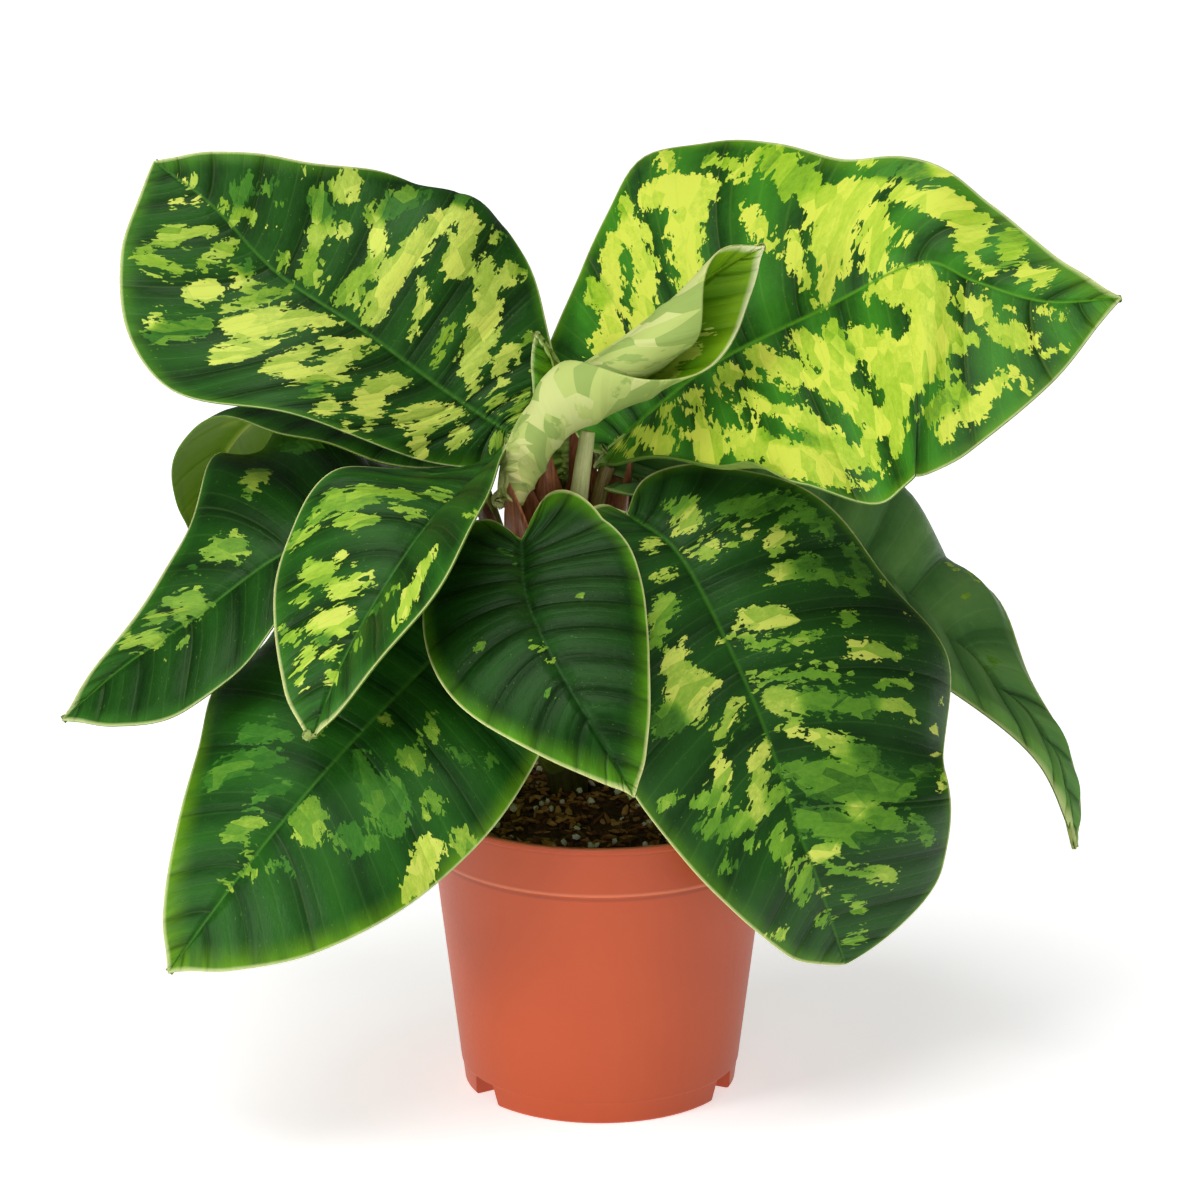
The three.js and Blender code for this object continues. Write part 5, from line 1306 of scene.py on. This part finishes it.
def build_pot(material):
    """The pot: a turned solid with its notches, less a hollow that leaves them a lining."""
    wall, outline, height, clear = (POT[key] for key in ("wall", "outline", "height", "clear"))
    piece = turned("pot", rounded([(0, 0)] + outline + [(POT["mouth"], height)]) + [(0, height)])
    inside = [(outline[0][0] - wall, wall), (outline[1][0] - wall, outline[1][1] + wall)]
    inside += [(r - wall, z) for r, z in outline[2:-1]] + [(outline[-2][0] - wall, clear), (0, clear)]
    hollow = turned("hollow", [(0, wall)] + inside)
    for middle in POT["notches"]:
        cut(piece, wedge(middle, 0))
        cut(hollow, wedge(middle, wall))
    cut(piece, hollow)
    for middle in POT["notches"]:
        deselect()
        bpy.ops.mesh.primitive_cube_add(size=1)
        slot, spec = bpy.context.object, POT["slot"]
        slot.scale = Vector(spec["size"]) * MM
        turn, radius = math.radians(middle), spec["radius"] * MM
        slot.location = (radius * math.sin(turn), -radius * math.cos(turn), spec["height"] * MM)
        slot.rotation_euler[2] = turn
        cut(piece, slot)
    piece.data.materials.append(material)
    soften(piece, 30)
    place_piece(piece, "pot")


# Materials

def blade_upper(name, look):
    """A blade's upper side: deep green between darker veins, with ragged pale patches."""
    coat = Coat(f"blade_{name}", IOR=1.45, Specular_IOR_Level=look["gloss"],
                Specular_Tint=(0.5, 0.8, 0.42, 1))
    patch, tone, edge = coat.value("patch"), coat.value("tone"), coat.value("edge")
    rib, share, beside = coat.value("rib"), coat.value("share"), coat.value("vein")
    broad = coat.noise(coat.lay(0.2, 0.07), 1, 2, 0.5)
    ragged = coat.noise(coat.lay(0.55, 0.2), 1, 3, 0.55)
    finger = coat.noise(coat.lay(0.5, 0.05), 1, 2, 0.5)
    mottle = coat.noise(coat.lay(0.8, 0.3), 1, 4, 0.65)
    fine = coat.noise(coat.lay(2.6, 1.1), 1, 3, 0.6)
    chip = coat.one(coat.cells(coat.lay(0.85, 0.3)))
    crumb = coat.one(coat.cells(coat.lay(1.9, 0.75)))
    block = coat.one(coat.cells(coat.lay(0.34, 0.1)), "Green")

    # The green ground, darker beside the main veins and lighter between them as painted shade and sheen of
    # the quilting, with random clouds, its paler margin and a few specks.
    base = (beside / 7 + (broad - 0.5) * 0.7 + (mottle - 0.5) * 0.5).clip().mix(look["dark"], look["mid"])
    # The paler band inside the margin is a painted glow of light through the thin blade there.
    margin = (1 - edge / look["border"]).clip() ** 1.6 * (broad * 1.5).clip()
    base = margin.mix(base, look["margin"])
    specks = (fine + (crumb - 0.5) * 0.25).above(0.76, 0.03) * 0.5
    base = specks.mix(base, look["lime"])

    # The patches, whose edges follow the fine veins.
    spread = patch * 0.9 - look["shrink"] + (broad - 0.5) * 5 + (ragged - 0.5) * 4 + (finger - 0.5) * 6
    mask = (spread + (chip - 0.5) * 2.6 + (crumb - 0.5) * 1.2).above(0, 0.22)
    shade = (tone + (block - 0.5) * 0.34 + (mottle - 0.5) * 0.45 + (fine - 0.5) * 0.2).clip()
    stops = [(0.0, look["mid"]), (0.3, look["dim"]), (0.6, look["lime"]), (0.86, look["pale"]),
             (1.0, look["cream"])]
    marked = mask.mix(base, coat.ramp(shade, stops))

    # Painted shade in the creases beside the main veins, then veins, midrib and rim.
    veins = coat.start.reckon("PINGPONG", share * FINE_VEINS, 0.5)
    groove = (1 - beside / 1.3).clip() ** 2
    marked = (groove * (1 - mask) * look["groove"]).mix(marked, "061a04")
    stripe = (1 - veins / 0.07).clip() * 0.1 + (1 - beside / 0.35).clip() * look["veined"]
    marked = stripe.mix(marked, look["vein"])
    keel = (1 - rib / 0.8).clip() * look["keel"]
    marked = keel.mix(marked, look["rib"])
    rim = (1 - edge / 0.85).clip()
    coat.feed("Base Color", rim.mix(marked, look["rim"]))
    coat.feed("Roughness", 0.36 + mottle * 0.14 + mask * 0.06)
    height = mottle * 0.5 + fine * 0.15 + (veins * 2).clip() ** 0.6 * 0.35 - groove * 0.9
    coat.feed("Normal", coat.bump(height, 0.55, 0.0008))
    return coat.material


def blade_under(name, look):
    """A blade's underside: dull, with the patches showing through and raised veins."""
    coat = Coat(f"blade_{name}_under", IOR=1.4, Specular_IOR_Level=0.25, Specular_Tint=(0.6, 0.8, 0.45, 1))
    soft = coat.noise(coat.lay(0.3, 0.12), 1, 3, 0.6)
    hidden = (coat.value("patch") + (soft - 0.5) * 6).above(0, 2.5) * 0.55
    back = hidden.mix(soft.mix(look["under"], look["under_mid"]), look["under_patch"])
    if "bands" in look:
        flecks = coat.one(coat.cells(coat.lay(0.22, 0.09))) + (soft - 0.5) * 0.5
        dark, pale, cream = look["bands"]
        back = coat.ramp(flecks, [(0.0, dark), (0.3, dark), (0.33, pale), (0.66, pale), (0.69, cream),
                                  (1.0, cream)])
        blush = (1 - coat.value("share") / 0.35).clip() * (soft - 0.2).clip()
        back = blush.mix(back, look["blush"])
    ridge = (1 - coat.value("rib") / 1.1).clip()
    coat.feed("Base Color", ridge.mix(back, look["under_rib"]))
    coat.feed("Roughness", soft * 0.1 + 0.5)
    veins = (coat.start.reckon("PINGPONG", coat.value("share") * FINE_VEINS, 0.5) * 2).clip() ** 0.6
    raised = (1 - coat.value("vein") / 1.1).clip() - veins * 0.3
    coat.feed("Normal", coat.bump(raised + soft * 0.3, 0.5, 0.0007))
    return coat.material


# What every blade's finish has besides the colours in the sidebar, and what single blades
# change. Border is the width of the pale margin band, a painted glow of light through the thin
# blade, in millimetres, shrink draws the patches in, and keel, veined and groove say how much
# the midrib, the veins and the painted shade beside the veins show.
SHARED_COLOURS = ("dark", "mid", "dim", "lime", "pale", "cream", "margin", "rim")
SHARED_LOOK = {
    "border": 5.0, "gloss": 0.34, "shrink": 0.4, "vein": "5f8a3c", "rib": "3f7420", "keel": 0.7,
    "veined": 0.2, "groove": 0.5, "under": "5f7d30", "under_mid": "4f7028", "under_patch": "93a650",
    "under_rib": "93a45a",
}
LOOKS = {
    "upper_left": {"dark": "0d2a08", "mid": "225216", "lime": "7c9e28", "pale": "a9bd4c",
                   "margin": "4a8018"},
    "upper_right": {"dark": "12380a", "mid": "35761a", "lime": "84ac20", "pale": "aec43c",
                    "cream": "c6d04a", "margin": "5a8c12", "rib": "4f8a16", "keel": 0.95,
                    "vein": "7ea63c"},
    "young": {"dark": "4f7f06", "mid": "6c9a10", "dim": "8cb028", "lime": "a0ba34", "pale": "bccc58",
              "cream": "d2d88a", "margin": "86ac18", "rib": "7a9c1c", "under": "b8c274",
              "under_mid": "a6b868", "under_patch": "b4c266", "under_rib": "b9c078", "rim": "e2e3b4",
              "blush": "b98a60", "bands": ("8ea456", "abba68", "bcc47c"), "groove": 0.12},
    "spear": {"dark": "4f7f06", "mid": "6c9a10", "under": "7f9a40", "under_mid": "6e8c34"},
    "mid_left": {"dark": "0b2c06", "mid": "245a16", "lime": "7fa62c", "pale": "a8c440",
                 "margin": "36701a", "rim": "cdd28a"},
    "low_left": {"dark": "0f360c", "mid": "225814", "dim": "3c7420", "lime": "6a942a",
                 "margin": "64940c", "border": 7.0},
    "front": {"dark": "082405", "mid": "1c4c12", "margin": "5c9a10", "border": 6.0, "rib": "17400e",
              "keel": 0.5, "vein": "2c6020", "rim": "d0d48c"},
    "low_right": {"dark": "10300c", "mid": "1f4a16", "dim": "4a7a22", "lime": "6c9a2a",
                  "pale": "98b440", "margin": "4f8010", "rim": "cdd28a", "shrink": 1.0,
                  "rib": "3a7018"},
    "far_left": {"dark": "0a2a05", "mid": "1c4c10", "margin": "34701a", "lime": "769c34"},
    # The far right blade's greens and veins are lightened all over as painted sheen.
    "far_right": {"dark": "3f6e32", "mid": "628e48", "margin": "6a9a3a", "vein": "94b474",
                  "gloss": 0.5, "groove": 1.1},
    "back_left": {"under": "5a7d12", "under_mid": "4a6c0c", "under_patch": "748e28",
                  "under_rib": "7c9428"},
}


def blade_coats(name, settings):
    """The materials of a blade's two sides."""
    shared = {key: tuple(getattr(settings, key)) for key in SHARED_COLOURS}
    look = {**SHARED_LOOK, **shared, **LOOKS.get(name, {})}
    return [blade_upper(name, look), blade_under(name, look)]


def stalk_coat(name, dark, light):
    """A streaked skin."""
    coat = Coat(name, IOR=1.45)
    streak = coat.noise(coat.lay(1.2, 0.05), 1, 3, 0.6)
    spots = coat.noise(coat.lay(0.5, 0.25), 1, 3, 0.6)
    tone = (streak * 0.7 + spots * 0.5 - 0.1).above(0.5, 0.35)
    coat.feed("Base Color", tone.mix(dark, light))
    coat.feed("Roughness", 0.36 + streak * 0.15)
    coat.feed("Normal", coat.bump(streak, 0.3, 0.0004))
    return coat.material


def rough_coat(name, stops, scale, roughness, bump):
    """A rough grainy finish."""
    coat = Coat(name, IOR=1.4)
    grain = coat.noise(coat.spot(scale), 1, 5, 0.65)
    coat.feed("Base Color", coat.ramp(grain, stops))
    coat.feed("Roughness", grain * 0.1 + roughness)
    coat.feed("Normal", coat.bump(grain, 0.6, bump))
    return coat.material


def bark_coat(middle):
    """Bark, each chip of its own shade."""
    coat = Coat("bark_chips", IOR=1.4)
    grain = coat.noise(coat.spot(900), 1, 4, 0.7)
    stops = [(0.0, "301a0c"), (0.3, "5e3418"), (0.55, middle), (0.8, "b98248"), (1.0, "d2a870")]
    coat.feed("Base Color", coat.ramp(coat.value("tint") * 0.8 + grain * 0.3 - 0.05, stops))
    coat.feed("Roughness", grain * 0.2 + 0.6)
    coat.feed("Normal", coat.bump(grain, 0.5, 0.0005))
    return coat.material


def pot_coat(plastic, light):
    """Moulded plastic, with painted shadows just under the collar's step and the lip bead, and painted
    highlights on the collar's lower edge and the top of the lip.
    """
    coat = Coat("pot_plastic", IOR=1.46)
    grain = coat.noise(coat.spot(700), 1, 2, 0.5)
    wide = coat.noise(coat.spot(25), 1, 3, 0.5)
    height = coat.start.node("ShaderNodeSeparateXYZ", {}, {0: coat.spot()}, "Z")
    skin = wide.above(0.5, 0.8).mix(plastic, light)

    def line(level, reach):
        """1 at a height, and 0 farther from it than its reach, in millimetres."""
        return (1 - coat.start.reckon("ABSOLUTE", height - level) / reach).clip()

    # Painted shadow just under the collar's step.
    skin = (line(84.2, 1.1) * 0.45).mix(skin, "6e2a10")
    # Painted highlights on the collar's lower edge and the top of the lip.
    skin = (line(86, 0.9) * 0.5 + line(102.8, 0.6) * 0.6).mix(skin, "e8926a")
    # Painted shade just under the lip bead.
    skin = (line(100.4, 0.7) * 0.3).mix(skin, "7e3214")
    coat.feed("Base Color", skin)
    coat.feed("Roughness", grain * 0.12 + 0.38)
    coat.feed("Normal", coat.bump(grain, 0.25, 0.0002))
    return coat.material


def floor_coat(shade):
    """A pale floor that glows more with the distance, so that the backdrop stays white."""
    coat = Coat("floor", Base_Color=colour(shade), Roughness=0.9, Emission_Strength=1)
    away = coat.start.node("ShaderNodeVectorMath", {"operation": "LENGTH"}, {0: coat.spot(1)}, "Value")
    stops = [(0.06, "c8c8c8"), (0.55, "fcfcfc"), (1.0, "ffffff")]
    coat.feed("Emission Color", coat.ramp(away / 2.5, stops))
    return coat.material


# The stage

# Each lamp's name, place in metres, size in metres and power in watts.
LAMPS = [
    ("overhead", (-0.25, -0.45, 1.6), 1.2, 19.0),
    ("left", (-1.6, -1.0, 0.55), 0.6, 15.0),
    ("right", (1.7, -0.8, 1.0), 0.8, 2.0),
    ("front", (-0.3, -1.9, 0.6), 0.6, 3.0),
]
SKY_STRENGTH = 0.1


def build_stage(sizes):
    """A pale floor, soft light from above and the sides, and the camera."""
    deselect()
    bpy.ops.mesh.primitive_plane_add(size=30)
    floor = bpy.context.object
    floor.name = "floor"
    floor.data.materials.append(floor_coat(tuple(sizes.floor)))
    for name, spot, size, power in LAMPS:
        bpy.ops.object.light_add(type="AREA", location=spot)
        lamp = bpy.context.object
        lamp.name = name
        lamp.data.size = size
        lamp.data.energy = power * sizes.brightness
        lamp.rotation_euler = (Vector((0, 0, 0.17)) - Vector(spot)).to_track_quat("-Z", "Y").to_euler()
    world = bpy.data.worlds.new("studio")
    world.use_nodes = True
    sky = world.node_tree.nodes["Background"].inputs
    sky["Color"].default_value = (1, 1, 1, 1)
    sky["Strength"].default_value = SKY_STRENGTH
    bpy.context.scene.world = world
    aim = Vector((0, 0, sizes.height))
    away = Vector((0, -math.cos(sizes.elevation), math.sin(sizes.elevation))) * sizes.distance
    bpy.ops.object.camera_add(location=aim + away)
    camera = bpy.context.object
    camera.rotation_euler = (-away).to_track_quat("-Z", "Y").to_euler()
    camera.data.lens = sizes.lens
    camera.data.sensor_width = 36
    bpy.context.scene.camera = camera
    bpy.context.scene.view_settings.view_transform = "Standard"


# Operators and the panel

class AddBlades(bpy.types.Operator):
    """Adds the twelve blades"""

    bl_idname = "homalomena.add_blades"
    bl_label = "Add Blades"

    def execute(self, context):
        settings = context.scene.homalomena_leaf
        for name in LEAVES:
            build_blade(name, settings, blade_coats(name, settings))
        return {"FINISHED"}


class AddStalks(bpy.types.Operator):
    """Adds a stalk for every blade"""

    bl_idname = "homalomena.add_stalks"
    bl_label = "Add Stalks"

    def execute(self, context):
        settings = context.scene.homalomena_stalk
        green = stalk_coat("petiole_green", tuple(settings.green), tuple(settings.green_light))
        brown = stalk_coat("petiole_brown", tuple(settings.brown), tuple(settings.brown_light))
        cream = stalk_coat("petiole_cream", tuple(settings.cream), tuple(settings.cream_light))
        special = {"young": cream, "upper_right": brown, "front": brown}
        for name in LEAVES:
            build_stalk(name, special.get(name, green))
        return {"FINISHED"}


class AddStemAndSheaths(bpy.types.Operator):
    """Adds the stem and the papery sheaths at its crown"""

    bl_idname = "homalomena.add_stem"
    bl_label = "Add Stem and Sheaths"

    def execute(self, context):
        settings = context.scene.homalomena_stalk
        build_stem(stalk_coat("stem", tuple(settings.stem), tuple(settings.stem_light)))
        papery = stalk_coat("sheath", tuple(settings.sheath), tuple(settings.sheath_light))
        for name in SHEATHS:
            build_sheath(name, papery)
        return {"FINISHED"}


class AddMix(bpy.types.Operator):
    """Adds the potting mix with its bark, fibres and perlite"""

    bl_idname = "homalomena.add_mix"
    bl_label = "Add Potting Mix"

    def execute(self, context):
        settings = context.scene.homalomena_mix
        crumbs = [(0.25, "23130a"), (0.5, tuple(settings.mix)), (0.75, "643f22")]
        grains = [(0.2, "cfc8bb"), (0.8, tuple(settings.perlite))]
        coats = {
            "mix": rough_coat("potting_mix", crumbs, 500, 0.8, 0.0012),
            "bark": bark_coat(tuple(settings.bark)),
            "fibre": Coat("fibres", Base_Color=colour(tuple(settings.fibre)), Roughness=0.8).material,
            "perlite": rough_coat("perlite", grains, 900, 0.75, 0.0004),
        }
        build_mix(settings, coats)
        return {"FINISHED"}


class AddPot(bpy.types.Operator):
    """Adds the nursery pot"""

    bl_idname = "homalomena.add_pot"
    bl_label = "Add Pot"

    def execute(self, context):
        settings = context.scene.homalomena_pot
        build_pot(pot_coat(tuple(settings.plastic), tuple(settings.plastic_light)))
        return {"FINISHED"}


class AddStage(bpy.types.Operator):
    """Adds the floor, the lights and the camera"""

    bl_idname = "homalomena.add_stage"
    bl_label = "Add Stage"

    def execute(self, context):
        build_stage(context.scene.homalomena_stage)
        return {"FINISHED"}


OPERATORS = (AddPot, AddMix, AddStemAndSheaths, AddStalks, AddBlades, AddStage)
SETTINGS = {
    "homalomena_leaf": LeafSettings,
    "homalomena_stalk": StalkSettings,
    "homalomena_mix": MixSettings,
    "homalomena_pot": PotSettings,
    "homalomena_stage": StageSettings,
}


class HomalomenaPanel(bpy.types.Panel):
    """The settings, and a button for each part"""

    bl_idname = "VIEW3D_PT_homalomena"
    bl_label = "Homalomena"
    bl_space_type = "VIEW_3D"
    bl_region_type = "UI"
    bl_category = "Homalomena"

    def draw(self, context):
        for holder in SETTINGS:
            box = self.layout.box()
            settings = getattr(context.scene, holder)
            for key in settings.__annotations__:
                box.prop(settings, key)
        for operator in OPERATORS:
            self.layout.operator(operator.bl_idname)


def register():
    """Registers the classes and puts the settings on the scene."""
    for kind in (*SETTINGS.values(), *OPERATORS, HomalomenaPanel):
        bpy.utils.register_class(kind)
    for holder, kind in SETTINGS.items():
        setattr(bpy.types.Scene, holder, PointerProperty(type=kind))


def unregister():
    """Takes the settings and the classes away again."""
    for holder in SETTINGS:
        delattr(bpy.types.Scene, holder)
    for kind in reversed((*SETTINGS.values(), *OPERATORS, HomalomenaPanel)):
        bpy.utils.unregister_class(kind)


def main():
    """Builds the plant and its stage."""
    register()
    for operator in OPERATORS:
        group, name = operator.bl_idname.split(".")
        getattr(getattr(bpy.ops, group), name)()
    bpy.context.view_layer.update()


if __name__ == "__main__":
    main()
